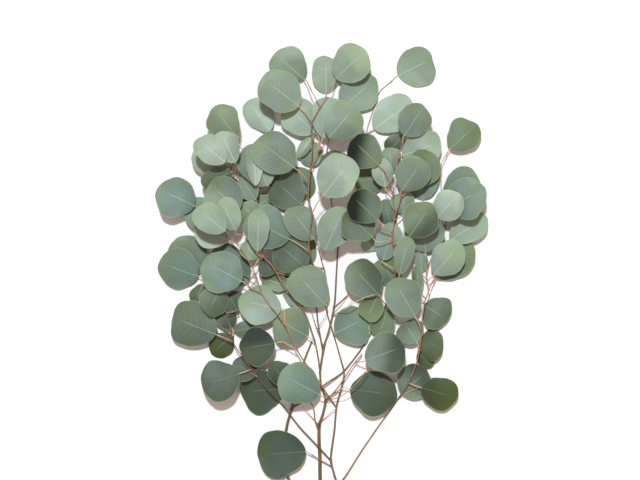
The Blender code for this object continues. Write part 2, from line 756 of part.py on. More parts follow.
def lay_down(sprays):
    """Lays every twig and leaf on the pile, lowest level first: the stems by name, the blades by place."""
    home_of = {twig.name: spray.name for spray in sprays for twig in spray.twigs}
    items = [item for spray in sprays for item in spray.twigs + spray.leaves]
    pile = Pile()
    stems = {}
    blades = {}
    for item in sorted(items, key=lambda item: item.level):
        if isinstance(item, Twig):
            lay_twig(item, pile, stems)
        else:
            blades[item.base, item.tip] = lay_leaf(item, pile, random.Random(f"{item.base}{item.tip}"))
    for spray in sprays:
        for twig in spray.twigs:
            if twig.parent:
                shared = home_of[twig.parent] == spray.name
                seat(stems[twig.name], stems[twig.parent], shared)
    return stems, blades


def main():
    """Lays the whole branch down, then makes each spray one solid."""
    for old in list(bpy.data.objects):
        bpy.data.objects.remove(old)
    home = bpy.data.collections.new("eucalyptus_branch")
    bpy.context.scene.collection.children.link(home)
    sprays = [MAIN_STEM] + SPRAYS
    stems, blades = lay_down(sprays)
    for spray in sprays:
        sides = 6 if spray is MAIN_STEM else 4
        own = [stems[twig.name] for twig in spray.twigs]
        meshes = [tube(twig.name, stem.points, stem.radii, sides) for twig, stem in zip(spray.twigs, own)]
        for leaf in spray.leaves:
            blade = blades[leaf.base, leaf.tip]
            meshes.append(leaf_mesh(leaf, blade, petiole_route(leaf, blade, own)))
        join(spray.name, meshes, material(spray.name, COLOURS[spray.colour]), home)


main()
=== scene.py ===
"""The looks of a cut branch of silver dollar eucalyptus, lying on a pale floor.

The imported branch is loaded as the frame. The leaves and twigs are laid down again, by the same
plan and the same rules as the model's, and every leafy spray is replaced by a finer piece: a
blade with its midrib, its rim and its bloom, a bent stalk, and a twig with its nodes and bark.
"""

import json
import logging
import math
import random
from dataclasses import dataclass, field
from enum import Enum
from typing import Dict, List, Optional, Sequence, Tuple

import bmesh
import bpy
import numpy as np
from mathutils import Matrix, Vector

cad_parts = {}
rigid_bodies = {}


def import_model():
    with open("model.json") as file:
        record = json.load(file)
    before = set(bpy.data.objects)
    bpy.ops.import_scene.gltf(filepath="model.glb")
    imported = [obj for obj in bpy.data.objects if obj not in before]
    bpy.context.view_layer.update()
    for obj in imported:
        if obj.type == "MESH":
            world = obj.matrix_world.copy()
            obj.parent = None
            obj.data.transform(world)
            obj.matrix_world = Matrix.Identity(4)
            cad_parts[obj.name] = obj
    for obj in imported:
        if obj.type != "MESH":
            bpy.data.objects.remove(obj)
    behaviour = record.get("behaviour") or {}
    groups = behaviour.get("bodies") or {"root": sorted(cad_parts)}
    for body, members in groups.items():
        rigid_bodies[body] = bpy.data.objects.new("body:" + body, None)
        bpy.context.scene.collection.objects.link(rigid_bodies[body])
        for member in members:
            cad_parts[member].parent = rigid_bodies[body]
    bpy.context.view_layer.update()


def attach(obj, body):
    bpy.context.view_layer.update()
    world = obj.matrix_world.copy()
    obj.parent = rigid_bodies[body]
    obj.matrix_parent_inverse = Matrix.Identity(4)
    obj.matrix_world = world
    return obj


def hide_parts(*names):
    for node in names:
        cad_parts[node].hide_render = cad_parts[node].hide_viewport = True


LOG = logging.getLogger("eucalyptus_branch")

Colour = Tuple[float, float, float]
PlanPoint = Tuple[float, float]

PLAN = 0.00115  # one square of the plan, in metres
PLAN_ORIGIN = (322.0, 283.0)  # the square over the object's origin
MILLIMETRE = 0.001

# How high the branch lies
PILE_CELL = 0.002  # the squares in which heights are kept
PILE_REACH = (0.27, 0.34)  # half of the pile's size in x and y
CLEARANCE = 0.0016  # between a leaf or twig and what lies under it

# A twig's course
STEM_POINTS = 0.016  # between the points of a twig as laid
ROUTE_STEP = 0.002  # between the points of its route while its height is found
LINE_STEP = 0.001  # between the points of its middle line
CURVE_STEPS = 12  # points of a smooth curve for each given one
STEEPEST = 0.55  # rise over run
RISE_LENGTH = 0.012  # over which a twig leaves its parent's height
TWIG_LIFT = 0.0008  # the least height over the floor, where no leaf is under it

# A leaf's form and tilt
LEAF_THICKNESS = 0.0008  # of a blade as it is stacked
BASE_WIDTH = 0.0016  # the least width of a blade near its base
NARROWING = 0.28  # how much a blade draws in near its base
WIDEST = 0.955  # brings the outline's form to the width on the plan
ARCH = (-0.0010, 0.0030)  # the rise of a blade's middle over its ends
DISH = (-0.0025, 0.0030)  # the rise of its edges over its midrib
RIPPLE = (0.0, 0.0009)  # the height of the waves along its edges
RIPPLE_TURNS = 1.7  # waves along an edge
LEAN = (-0.06, 0.06)  # how much wider one half is than the other
TILTS = [math.radians(angle) for angle in (-20, -15, -10, -5, 0, 5, 10, 15, 20)]
PITCH_WISH = (-0.16, 0.24)  # the tilt that a leaf has by nature, in radians
ROLL_WISH = (-0.28, 0.28)
TILT_COST = 0.030  # the height that weighs as much as a radian away from that tilt
COARSE_POINTS = (11, 7)  # along and across a blade, while its tilt is chosen
FINE_POINTS = (27, 23)  # and while it is let down on the pile

# A petiole's course
LINE_FROM = 0.3  # where on the blade the line starts that its petiole leaves along
FOOT_REACH = 0.010  # how far behind its leaf a petiole's foot is looked for
FOOT_AFTER = 0.004  # no petiole stands nearer than this to a twig's start
FOOT_BEFORE = 0.0015  # nor nearer than this to its end
HEIGHT_WEIGHT = 0.3  # of a difference in height, where the nearest twig is chosen
PETIOLE_DIP = 0.002  # the way in which a low petiole drops from its leaf, or rises to its twig
PETIOLE_BEND = 0.009  # a petiole longer than this bends at a knee
KNEE_ALONG = 0.4  # the knee's share of the way to the foot
KNEE_MOST = 0.6  # and the largest share of the way on the plan
KNEE_LEAST = 0.2  # the least that a petiole across the leaf's line keeps of its knee
KNEE_RISE = 0.0005  # over the straight way to the foot
KNEE_HEIGHT = 0.0012  # the least over the floor


class Tone(Enum):
    """The named colours of the leaves. The two darkest are painted shade: dark olive and near-black greens
    for leaves that lie under others.
    """

    PALE = "pale"
    LIGHT = "light"
    SAGE = "sage"
    GREY = "grey"
    BLUE = "blue"
    DEEP = "deep"
    OLIVE = "olive"
    SHADE = "shade"
    BLACK = "black"


@dataclass
class Leaf:
    """One leaf on the plan, from where its petiole joins the blade to its tip."""

    base: PlanPoint
    tip: PlanPoint
    width: float  # in squares of the plan
    level: float  # its turn in the pile, lowest first
    tone: Tone
    at: Optional[PlanPoint] = None  # where its petiole stands on the twig, where that is seen
    flat: bool = False  # whether it lies flat on the floor
    low: bool = False  # whether its petiole runs low, under a blade beside it
    painted_shade_and_dark_bark: Optional[Tuple[float, float]] = None  # painted shade: the plan's direction that the blade darkens to, and how much


@dataclass
class Twig:
    """One stem or twig: its parent, its level, its radii in millimetres and its points on the plan."""

    name: str
    parent: Optional[str]
    level: float
    radii: Tuple[float, float]  # at its start and at its end
    points: List[PlanPoint]


@dataclass
class Spray:
    """A stem and the leaves that it bears, which is one node of the model."""

    name: str
    twigs: List[Twig]
    leaves: List[Leaf]
    sprigs: List[Twig] = field(default_factory=list)  # bare twigs finer than the model's


# Where a leaf's row gives a direction in degrees and an amount, that pair is painted shade: the blade darkens
# towards that side of the plan.
SPRAYS: List[Spray] = [
    Spray("main_stem", [
        Twig("trunk", None, 0.0, (2.2, 1.8),
             [(322, 521), (321, 500), (320, 480), (320, 460), (319, 440), (319, 425)]),
        Twig("foot", "trunk", 0.3, (1.8, 1.6), [(321, 508), (328, 499), (338, 486)]),
        Twig("outer", "foot", 0.4, (1.3, 1.0),
             [(338, 486), (350, 469), (362, 450), (385, 417), (393, 407), (398, 399)]),
        Twig("side", "trunk", 0.35, (1.7, 1.3),
             [(321, 513), (311, 506), (300, 498), (290, 482), (284, 462), (285, 440), (287, 425),
              (292, 408)]),
        Twig("centre", "trunk", 0.5, (1.7, 1.3),
             [(319, 425), (323, 413), (326, 402), (324, 395), (321, 385), (320, 372)]),
        Twig("core", "vee", 0.72, (1.1, 0.9), [(323, 352), (320, 335), (317, 315), (316, 295), (314, 272)]),
        Twig("vee", "centre", 0.7, (1.3, 1.0),
             [(320, 372), (322, 358), (325, 343), (329, 330), (332, 318), (335, 300), (336, 280),
              (338, 248)]),
        Twig("side_up", "side", 0.62, (1.1, 0.8), [(292, 408), (297, 385), (303, 364), (312, 341)]),
        Twig("right", "side", 0.75, (1.2, 0.9),
             [(292, 408), (305, 400), (316, 391), (325, 384), (343, 372), (355, 357), (364, 345),
              (371, 333), (383, 311)]),
        Twig("inner", "foot", 0.9, (1.5, 1.0),
             [(338, 486), (331, 461), (333, 440), (335, 425), (336, 408), (338, 400), (342, 385),
              (344, 372), (341, 360), (337, 346)]),
        Twig("left", "inner", 3.4, (1.0, 0.8),
             [(331, 461), (319, 447), (300, 427), (283, 405), (270, 392), (260, 380)]),
        Twig("vee_side", "vee", 3.0, (0.8, 0.6), [(334, 308), (342, 299), (351, 292)]),
    ], [], sprigs=[
        Twig("cross_a", "vee", 9.0, (0.60, 0.45), [(320, 347), (317, 329), (311, 310)]),
        Twig("cross_b", "cross_a", 9.1, (0.50, 0.40), [(317, 329), (322, 323), (327, 314)]),
        Twig("cross_c", "vee", 9.2, (0.50, 0.40), [(320, 344), (325, 335), (331, 325)]),
        Twig("cross_d", "vee", 9.3, (0.60, 0.45), [(333, 315), (342, 304), (351, 292)]),
        Twig("cross_e", "vee", 9.4, (0.55, 0.45), [(334, 316), (342, 311), (358, 300), (375, 294)]),
        Twig("cross_f", "centre", 9.5, (0.60, 0.45), [(322, 423), (329, 415), (336, 408)]),
        Twig("cross_g", "trunk", 9.6, (0.60, 0.45), [(318, 425), (311, 416), (303, 407)]),
        Twig("cross_h", "centre", 9.7, (0.60, 0.45), [(327, 402), (338, 396), (349, 391), (367, 368)]),
    ]),
    Spray("spray_centre", [
        Twig("centre_stem", "core", 4.6, (1.1, 0.8),
             [(314, 272), (311, 257), (309, 250), (309, 238), (311, 225), (312, 214), (309, 203),
              (308, 194), (309, 183), (310, 172), (312, 155), (312, 141)]),
        Twig("centre_fork", "centre_stem", 4.62, (0.7, 0.6), [(310, 172), (313, 158), (319, 150)]),
    ], [
        Leaf((289, 239), (247, 218), 44, 4.0, Tone.BLUE, at=(309, 252)),
        Leaf((323, 196), (352, 160), 42, 6.0, Tone.PALE, at=(312, 214)),
        Leaf((288, 177), (252, 160), 40, 3.0, Tone.BLUE, at=(308, 194), low=True),
        Leaf((294, 168), (257, 140), 43, 5.0, Tone.SAGE, at=(309, 182)),
        Leaf((308, 200), (295, 168), 30, 2.0, Tone.GREY),
        Leaf((322, 148), (299, 157), 27, 2.0, Tone.SAGE, at=(319, 150), painted_shade_and_dark_bark=(180, 0.2)),
        Leaf((314, 133), (286, 104), 38, 3.2, Tone.PALE, at=(319, 150)),
        Leaf((323, 138), (338, 99), 40, 4.2, Tone.PALE, at=(319, 150)),
        Leaf((301, 204), (275, 181), 40, 3.0, Tone.GREY, at=(309, 198), painted_shade_and_dark_bark=(150, 0.3)),
        Leaf((306, 268), (278, 243), 40, 3.0, Tone.GREY, painted_shade_and_dark_bark=(150, 0.3)),
        Leaf((313, 136), (298, 157), 12, 2.5, Tone.PALE, painted_shade_and_dark_bark=(-45, 0.6)),
    ]),
    Spray("spray_top", [
        Twig("top_stem", "centre_stem", 4.7, (0.8, 0.6), [(312, 141), (312, 122), (316, 113), (320, 107)]),
        Twig("top_left", "top_stem", 5.12, (0.6, 0.55), [(320, 107), (315, 96), (310, 89)]),
        Twig("top_right", "top_stem", 5.14, (0.6, 0.55), [(320, 107), (325, 96), (331, 88)]),
    ], [
        Leaf((303.5, 79), (275, 53), 38, 3.0, Tone.LIGHT),
        Leaf((299, 107), (262, 79), 42, 5.0, Tone.LIGHT, at=(312, 122)),
        Leaf((336, 79), (366, 52), 40, 5.0, Tone.LIGHT),
        Leaf((326, 94), (326, 56), 30, 3.0, Tone.PALE, at=(327, 93)),
    ]),
    Spray("spray_inner", [
        Twig("inner_stem", "vee", 2.6, (0.9, 0.6),
             [(338, 248), (336, 228), (332, 206), (329, 185), (326, 160), (328, 143)]),
        Twig("inner_tip", "inner_stem", 2.7, (0.6, 0.5), [(328, 143), (333, 125), (338, 113)]),
    ], [
        Leaf((329, 138), (355, 107), 40, 5.0, Tone.LIGHT),
        Leaf((341, 109), (375, 79), 38, 3.5, Tone.LIGHT, painted_shade_and_dark_bark=(90, 0.2)),
        Leaf((345, 188), (330, 151), 34, 1.0, Tone.PALE, painted_shade_and_dark_bark=(105, 0.7)),
    ]),
    Spray("spray_middle", [
        Twig("middle_stem", "inner", 1.5, (0.9, 0.7),
             [(337, 346), (331, 325), (326, 310), (327, 292), (326, 277), (322, 262), (319, 250)]),
    ], [
        Leaf((325, 304), (294, 270), 40, 5.0, Tone.SAGE),
        Leaf((314, 239), (290, 208), 31, 4.0, Tone.SAGE),
        Leaf((325, 250), (344, 208), 34, 4.0, Tone.SAGE),
        Leaf((313, 263), (292, 236), 30, 1.0, Tone.OLIVE, flat=True, painted_shade_and_dark_bark=(165, 0.2)),
        Leaf((335, 333), (366, 318), 42, 3.0, Tone.BLUE),
    ]),
    Spray("spray_right", [
        Twig("right_stem", "right", 4.6, (0.9, 0.7),
             [(383, 311), (390, 295), (394, 280), (395, 262), (394, 250), (392, 240), (393, 225),
              (397, 208), (402, 195)]),
        Twig("right_spur", "right_stem", 4.62, (0.6, 0.6), [(386, 305), (380, 302), (378, 296)]),
    ], [
        Leaf((378, 294), (350, 264), 38, 5.0, Tone.GREY, painted_shade_and_dark_bark=(20, 0.4)),
        Leaf((377, 296), (366, 320), 26, 4.0, Tone.OLIVE, painted_shade_and_dark_bark=(75, 0.2)),
        Leaf((388, 309), (378, 337), 26, 3.0, Tone.OLIVE, painted_shade_and_dark_bark=(-135, 0.2)),
        Leaf((396, 285), (380, 258), 28, 3.0, Tone.OLIVE),
        Leaf((383, 260), (395, 224), 28, 4.0, Tone.SAGE),
        Leaf((399, 274), (408, 236), 20, 6.0, Tone.SAGE),
        Leaf((377, 220), (351, 196), 36, 5.0, Tone.GREY, at=(391, 234), painted_shade_and_dark_bark=(175, 1.0)),
        Leaf((372, 237), (345, 212), 38, 4.0, Tone.GREY, painted_shade_and_dark_bark=(75, 0.3)),
        Leaf((377, 250), (362, 240), 16, 3.0, Tone.PALE, painted_shade_and_dark_bark=(45, 0.2), low=True),
        Leaf((392, 228), (384, 200), 20, 3.0, Tone.GREY, low=True),
        Leaf((409, 236), (430, 205), 38, 6.0, Tone.OLIVE, painted_shade_and_dark_bark=(-50, 0.7), low=True),
        Leaf((402, 190), (422, 160), 36, 5.0, Tone.SAGE),
        Leaf((412, 186), (432, 153), 36, 4.0, Tone.OLIVE, at=(402, 195), painted_shade_and_dark_bark=(-90, 0.2)),
        Leaf((402, 214), (404, 193), 26, 3.0, Tone.LIGHT, painted_shade_and_dark_bark=(-45, 0.2)),
    ]),
    Spray("spray_upper_right", [
        Twig("upper_stem", "right_stem", 4.4, (0.7, 0.55),
             [(393, 222), (393, 200), (393, 190), (395, 176), (397, 162), (401, 148), (404, 138)]),
        Twig("upper_left", "upper_stem", 4.42, (0.55, 0.5), [(393, 190), (391, 179), (384, 171)]),
        Twig("far_twig", "upper_stem", 2.5, (0.7, 0.5),
             [(393, 190), (385, 172), (375, 152), (367, 135), (370, 120), (375, 105), (378, 94), (384, 88),
              (392, 81)]),
    ], [
        Leaf((398, 76), (433, 58), 42, 4.0, Tone.LIGHT),
        Leaf((374, 129), (412, 102), 38, 3.0, Tone.PALE),
        Leaf((404, 136), (423, 107), 34, 5.0, Tone.SAGE),
        Leaf((402, 156), (441, 142), 34, 3.0, Tone.PALE, painted_shade_and_dark_bark=(-150, 0.2)),
        Leaf((378, 165), (352, 140), 36, 4.0, Tone.OLIVE, painted_shade_and_dark_bark=(165, 1.0)),
        Leaf((383, 187), (358, 172), 34, 3.0, Tone.OLIVE),
        Leaf((385, 187), (380, 160), 22, 3.95, Tone.PALE),
        Leaf((391, 170), (388, 148), 22, 3.0, Tone.LIGHT, painted_shade_and_dark_bark=(30, 0.2)),
        Leaf((403, 136), (388, 152), 20, 2.0, Tone.GREY, painted_shade_and_dark_bark=(-120, 0.5)),
    ]),
    Spray("spray_outer_right", [
        Twig("outer_tip", "outer_stem", 4.5, (0.7, 0.55), [(424, 302), (428, 291), (433, 283), (434, 277)]),
        Twig("outer_rise", "outer_tip", 4.4, (0.6, 0.55), [(428, 291), (427, 280), (425, 268), (425, 256)]),
        Twig("outer_left", "outer_tip", 4.3, (0.55, 0.5), [(425, 299), (419, 291), (414, 283)]),
        Twig("outer_back", "outer_rise", 2.4, (0.6, 0.5),
             [(426, 272), (433, 254), (441, 241), (446, 226), (444, 208), (441, 190), (441, 165),
              (448, 152)]),
    ], [
        Leaf((425, 252), (424, 213), 40, 4.0, Tone.SAGE, painted_shade_and_dark_bark=(90, 0.4)),
        Leaf((434, 274), (459, 243), 34, 5.0, Tone.LIGHT),
        Leaf((437, 277), (470, 243), 40, 3.0, Tone.OLIVE),
        Leaf((450, 240), (486, 217), 32, 3.0, Tone.LIGHT, low=True),
        Leaf((436, 218), (458, 194), 32, 5.0, Tone.PALE, low=True),
        Leaf((442, 208), (484, 191), 42, 4.0, Tone.BLUE),
        Leaf((445, 203), (474, 170), 34, 3.0, Tone.SAGE, painted_shade_and_dark_bark=(150, 0.2)),
        Leaf((450, 149), (476, 124), 34, 5.0, Tone.OLIVE),
        Leaf((419, 293), (416, 266), 12, 4.0, Tone.OLIVE, painted_shade_and_dark_bark=(-165, 0.4)),
        Leaf((422, 272), (420, 250), 14, 3.0, Tone.LIGHT),
        Leaf((423, 200), (422, 161), 38, 2.0, Tone.SAGE, at=(444, 205), painted_shade_and_dark_bark=(90, 0.7)),
    ]),
    Spray("spray_lower_right", [
        Twig("outer_stem", "outer", 4.5, (0.9, 0.7),
             [(398, 399), (405, 388), (410, 378), (415, 366), (419, 352), (420, 340), (422, 315),
              (424, 302)]),
        Twig("outer_spur", "outer_stem", 4.4, (0.6, 0.55), [(401, 395), (411, 390), (418, 388)]),
    ], [
        Leaf((401, 393), (427, 371), 38, 4.0, Tone.GREY, painted_shade_and_dark_bark=(30, 0.6)),
        Leaf((421, 387), (457, 398), 34, 5.0, Tone.SHADE, painted_shade_and_dark_bark=(-180, 0.2)),
        Leaf((417, 342), (404, 322), 30, 4.0, Tone.OLIVE, painted_shade_and_dark_bark=(105, 0.3)),
        Leaf((414, 315), (393, 279), 38, 6.0, Tone.SAGE, at=(421, 330), painted_shade_and_dark_bark=(60, 0.2)),
        Leaf((424, 305), (448, 320), 36, 3.0, Tone.GREY),
        Leaf((420, 345), (443, 345), 34, 2.0, Tone.SHADE),
        Leaf((418, 352), (432, 366), 18, 1.0, Tone.SHADE, painted_shade_and_dark_bark=(165, 0.3)),
    ]),
    Spray("spray_low_centre", [
        Twig("low_stem", "centre", 1.6, (0.9, 0.7), [(326, 402), (341, 383), (352, 366), (362, 354)]),
    ], [
        Leaf((365, 360), (404, 346), 42, 6.0, Tone.GREY, painted_shade_and_dark_bark=(-10, 0.7)),
        Leaf((350, 389), (396, 395), 46, 3.0, Tone.DEEP, at=(331, 401), painted_shade_and_dark_bark=(-105, 0.3)),
    ]),
    Spray("spray_low_left", [
        Twig("low_left_stem", "inner", 4.7, (0.9, 0.7),
             [(336, 408), (331, 400), (323, 387), (313, 373), (303, 359), (297, 350), (291, 337),
              (286, 326), (278, 315), (270, 305), (262, 294), (248, 287)]),
    ], [
        Leaf((319, 394), (280, 373), 42, 6.0, Tone.BLUE),
        Leaf((275, 343), (241, 348), 40, 5.0, Tone.DEEP, at=(297, 350), painted_shade_and_dark_bark=(100, 0.8)),
        Leaf((281, 309), (240, 300), 40, 4.0, Tone.LIGHT, at=(286, 326)),
        Leaf((242, 281), (204, 262), 44, 6.0, Tone.BLUE),
    ]),
    Spray("spray_left_arm", [
        Twig("arm_stem", "vee", 3.6, (1.0, 0.7),
             [(320, 372), (317, 350), (313, 335), (308, 320), (304, 311), (296, 301), (285, 287),
              (279, 277), (272, 265), (263, 256)]),
    ], [
        Leaf((258, 251), (260, 209), 22, 5.0, Tone.LIGHT),
        Leaf((307, 336), (275, 318), 40, 3.0, Tone.OLIVE),
        Leaf((286, 276), (303, 306), 26, 2.0, Tone.SAGE, painted_shade_and_dark_bark=(60, 0.2)),
        Leaf((290, 287), (262, 277), 18, 2.0, Tone.LIGHT, painted_shade_and_dark_bark=(90, 0.6)),
        Leaf((264, 257), (273, 275), 22, 2.0, Tone.DEEP, painted_shade_and_dark_bark=(-180, 0.2)),
    ]),
    Spray("spray_left", [
        Twig("left_stem", "low_left_stem", 4.75, (0.7, 0.55),
             [(262, 294), (257, 278), (256, 270), (250, 262), (243, 252), (237, 243), (230, 235)]),
        Twig("left_low", "left_stem", 2.5, (0.6, 0.5),
             [(257, 279), (248, 277), (236, 274), (214, 276), (203, 277)]),
        Twig("left_high", "left_stem", 2.6, (0.6, 0.5), [(237, 243), (222, 234), (208, 220), (200, 210)]),
    ], [
        Leaf((226, 231), (197, 208), 29, 6.0, Tone.LIGHT),
        Leaf((258, 258), (244, 242), 20, 3.0, Tone.LIGHT),
        Leaf((248, 282), (212, 250), 40, 1.0, Tone.SAGE, at=(256, 272), painted_shade_and_dark_bark=(30, 0.5)),
        Leaf((205, 270), (172, 243), 42, 2.0, Tone.OLIVE, painted_shade_and_dark_bark=(30, 0.2)),
        Leaf((228, 240), (196, 226), 32, 4.0, Tone.PALE, painted_shade_and_dark_bark=(0, 0.0)),
        Leaf((198, 276), (160, 262), 42, 5.0, Tone.BLUE),
        Leaf((195, 206), (158, 190), 42, 5.0, Tone.BLUE),
        Leaf((215, 232), (190, 200), 34, 2.0, Tone.LIGHT, painted_shade_and_dark_bark=(-30, 0.3)),
        Leaf((222, 285), (208, 314), 30, 4.5, Tone.GREY, painted_shade_and_dark_bark=(-75, 0.3)),
        Leaf((203, 284), (194, 304), 18, 1.0, Tone.OLIVE, painted_shade_and_dark_bark=(-15, 0.5)),
    ]),
    Spray("spray_upper_left", [
        Twig("far_left_stem", "arm_stem", 2.8, (0.8, 0.55),
             [(263, 256), (261, 235), (254, 213), (247, 195), (243, 187), (237, 176), (230, 168)]),
        Twig("far_left_spur", "far_left_stem", 2.9, (0.6, 0.5), [(254, 205), (256, 192)]),
        Twig("far_left_tip", "far_left_spur", 2.2, (0.6, 0.5),
             [(256, 193), (262, 172), (268, 152), (271, 138)]),
    ], [
        Leaf((226, 163), (198, 140), 28, 6.0, Tone.PALE),
        Leaf((270, 131), (248, 100), 30, 2.0, Tone.PALE),
        Leaf((256, 186), (253, 147), 17, 4.0, Tone.PALE, painted_shade_and_dark_bark=(180, 0.4), low=True),
        Leaf((236, 136), (214, 108), 34, 4.0, Tone.OLIVE),
        Leaf((236, 163), (222, 132), 26, 4.5, Tone.PALE),
        Leaf((228, 172), (197, 146), 40, 3.0, Tone.PALE, painted_shade_and_dark_bark=(0, 0.0)),
        Leaf((232, 172), (203, 186), 26, 3.0, Tone.GREY, painted_shade_and_dark_bark=(-60, 0.6)),
        # painted shadow: a near-black leaf laid low, where the branch shows only a dark gap
        Leaf((245, 205), (210, 185), 38, 1.0, Tone.BLACK),
        Leaf((240, 210), (210, 184), 40, 3.5, Tone.SAGE, painted_shade_and_dark_bark=(60, 0.3), low=True),
        Leaf((236, 230), (222, 199), 26, 5.0, Tone.LIGHT),
        Leaf((256, 200), (241, 178), 22, 3.0, Tone.SAGE, painted_shade_and_dark_bark=(-135, 0.2)),
        Leaf((268, 186), (248, 146), 38, 3.0, Tone.LIGHT, painted_shade_and_dark_bark=(-150, 0.5)),
        Leaf((258, 222), (242, 204), 24, 3.0, Tone.SAGE),
        Leaf((252, 213), (270, 196), 20, 2.0, Tone.LIGHT, painted_shade_and_dark_bark=(45, 0.2)),
    ]),
    Spray("spray_lower_left", [
        Twig("lower_stem", "left", 4.6, (0.8, 0.6),
             [(260, 380), (248, 363), (239, 351), (234, 344), (230, 325), (226, 311)]),
        Twig("lower_spur", "lower_stem", 4.62, (0.6, 0.5), [(227, 313), (232, 308), (239, 309)]),
    ], [
        Leaf((240, 373), (202, 385), 42, 4.0, Tone.DEEP, at=(252, 369)),
        Leaf((216, 334), (172, 316), 48, 4.0, Tone.GREY, at=(232, 342)),
        Leaf((232, 335), (212, 354), 26, 2.0, Tone.SHADE),
        Leaf((232, 328), (220, 310), 22, 3.0, Tone.DEEP),
        Leaf((238, 311), (228, 294), 30, 3.0, Tone.DEEP),
        Leaf((234, 331), (255, 327), 18, 2.0, Tone.GREY),
        Leaf((256, 375), (234, 362), 30, 3.2, Tone.DEEP, painted_shade_and_dark_bark=(30, 0.5)),
    ]),
    Spray("spray_foot", [
        Twig("foot_stem", "trunk", 2.4, (1.0, 0.7),
             [(319, 433), (315, 420), (312, 403), (302, 394), (290, 390)]),
    ], [
        Leaf((284, 389), (241, 391), 46, 3.0, Tone.DEEP),
        Leaf((287, 386), (272, 362), 24, 4.0, Tone.DEEP, painted_shade_and_dark_bark=(-180, 0.2)),
    ]),
    Spray("low_leaf", [
        Twig("low_leaf_stalk", "inner", 1.2, (0.8, 0.7), [(332, 467), (322, 461), (311, 454)]),
    ], [
        Leaf((306, 451), (257, 455), 50, 5.0, Tone.DEEP),
    ]),
]


def on_plan(point: PlanPoint) -> np.ndarray:
    """The x and y, in metres, of a point of the plan."""
    return np.array([(point[0] - PLAN_ORIGIN[0]) * PLAN, (PLAN_ORIGIN[1] - point[1]) * PLAN])


def lengths_along(line: np.ndarray) -> np.ndarray:
    """The distance travelled along a line at each of its points."""
    return np.concatenate([[0], np.cumsum(np.linalg.norm(np.diff(line, axis=0), axis=1))])


class Pile:
    """How high the branch reaches so far above each square of the floor."""

    def __init__(self) -> None:
        """Starts with nothing on the floor."""
        self.top = np.zeros([int(2 * reach / PILE_CELL) for reach in PILE_REACH])

    def cells(self, points: np.ndarray) -> Tuple[np.ndarray, np.ndarray]:
        """The cell under each point, as columns and rows."""
        index = ((points[:, :2] + PILE_REACH) / PILE_CELL).astype(int)
        return index[:, 0], index[:, 1]

    def needed(self, points: np.ndarray) -> np.ndarray:
        """The lowest height allowed at each point: on the floor, or clear of what lies there."""
        top = self.top[self.cells(points)]
        return np.where(top > 0, top + CLEARANCE, 0.0)

    def add(self, points: np.ndarray, radius: float) -> None:
        """Raises the cells under the points, and those around them.

        Args:
            points: places of the new piece's middle surface or line.
            radius: half of its thickness there.
        """
        column, row = self.cells(points)
        height = points[:, 2] + radius
        for step_x in (-1, 0, 1):
            for step_y in (-1, 0, 1):
                np.maximum.at(self.top, (column + step_x, row + step_y), height)


@dataclass
class Blade:
    """A leaf's true size, its place and the form of its surface."""

    length: float
    width: float
    arch: float
    dish: float
    ripple: float
    phase: float
    lean: float
    frame: Matrix = field(default_factory=Matrix)

    def point(self, along: float, across: float) -> Vector:
        """A point of the middle surface.

        Args:
            along: 0 at the base to 1 at the tip.
            across: -1 to 1, from one edge to the other.

        Returns:
            The point in the blade's own frame.
        """
        turn = math.pi * along
        narrowing = 1 - NARROWING * math.cos(turn / 2) ** 4
        half = self.width / 2 * math.sin(turn) * narrowing * (1 + self.lean * across) / WIDEST
        if along < 0.5:
            half = max(half, BASE_WIDTH / 2)
        x = self.length * (1 - math.cos(turn)) / 2
        middle = 2 * x / self.length - 1
        edge = across * across * math.sin(turn)
        z = self.arch * (1 - middle * middle) + self.dish * edge
        z += self.ripple * edge * math.sin(2 * math.pi * RIPPLE_TURNS * along + self.phase)
        return Vector((x, half * across, z))

    def samples(self, count_along: int, count_across: int) -> np.ndarray:
        """Points spread over the blade, in its own frame."""
        return np.array([self.point(a, b) for a in np.linspace(0.0, 1.0, count_along)
                         for b in np.linspace(-1.0, 1.0, count_across)])

    def place(self, along: float, across: float) -> Vector:
        """A point of the middle surface where the leaf lies."""
        return self.frame @ self.point(along, across)

    def up(self) -> Vector:
        """The direction that the leaf's upper face looks in."""
        return (self.frame.to_3x3() @ Vector((0, 0, 1))).normalized()


@dataclass
class Stem:
    """A twig as laid: its points in metres and the radius at each."""

    points: np.ndarray
    radii: np.ndarray

    def nearest(self, place: np.ndarray, skip_start: float = 0.0, skip_end: float = 0.0) -> np.ndarray:
        """The point of the middle line that is nearest to a place of the plan.

        Args:
            place: x and y in metres.
            skip_start: length at the twig's start that isn't used.
            skip_end: length at its end that isn't used.

        Returns:
            The point.
        """
        travelled = lengths_along(self.points)
        wanted = np.linspace(0, travelled[-1], int(travelled[-1] / LINE_STEP) + 2)
        line = np.column_stack([np.interp(wanted, travelled, self.points[:, axis]) for axis in range(3)])
        gaps = np.linalg.norm(line[:, :2] - place, axis=1)
        gaps = np.where(wanted < min(skip_start, 0.5 * travelled[-1]), np.inf, gaps)
        gaps = np.where(wanted > travelled[-1] - skip_end, np.inf, gaps)
        return line[int(np.argmin(gaps))]

    def radius_at(self, share: float) -> float:
        """The radius a share of the way along."""
        return float(np.interp(share, np.linspace(0, 1, len(self.radii)), self.radii))


def rounded(rows: np.ndarray, spacing: float) -> np.ndarray:
    """A smooth curve through points of any dimension.

    Args:
        rows: the points, one a row.
        spacing: the length between the points of the result.

    Returns:
        Points that lie evenly along the curve.
    """
    padded = np.vstack([2 * rows[0] - rows[1], rows, 2 * rows[-1] - rows[-2]])
    dense = []
    for index in range(1, len(padded) - 2):
        before, start, end, after = padded[index - 1 : index + 3]
        for step in np.linspace(0, 1, CURVE_STEPS, endpoint=False):
            dense.append(0.5 * (2 * start + (end - before) * step
                                + (2 * before - 5 * start + 4 * end - after) * step**2
                                + (3 * start - before - 3 * end + after) * step**3))
    line = np.array(dense + [rows[-1]])
    travelled = lengths_along(line)
    wanted = np.linspace(0, travelled[-1], max(2, int(round(travelled[-1] / spacing)) + 1))
    return np.column_stack([np.interp(wanted, travelled, column) for column in line.T])


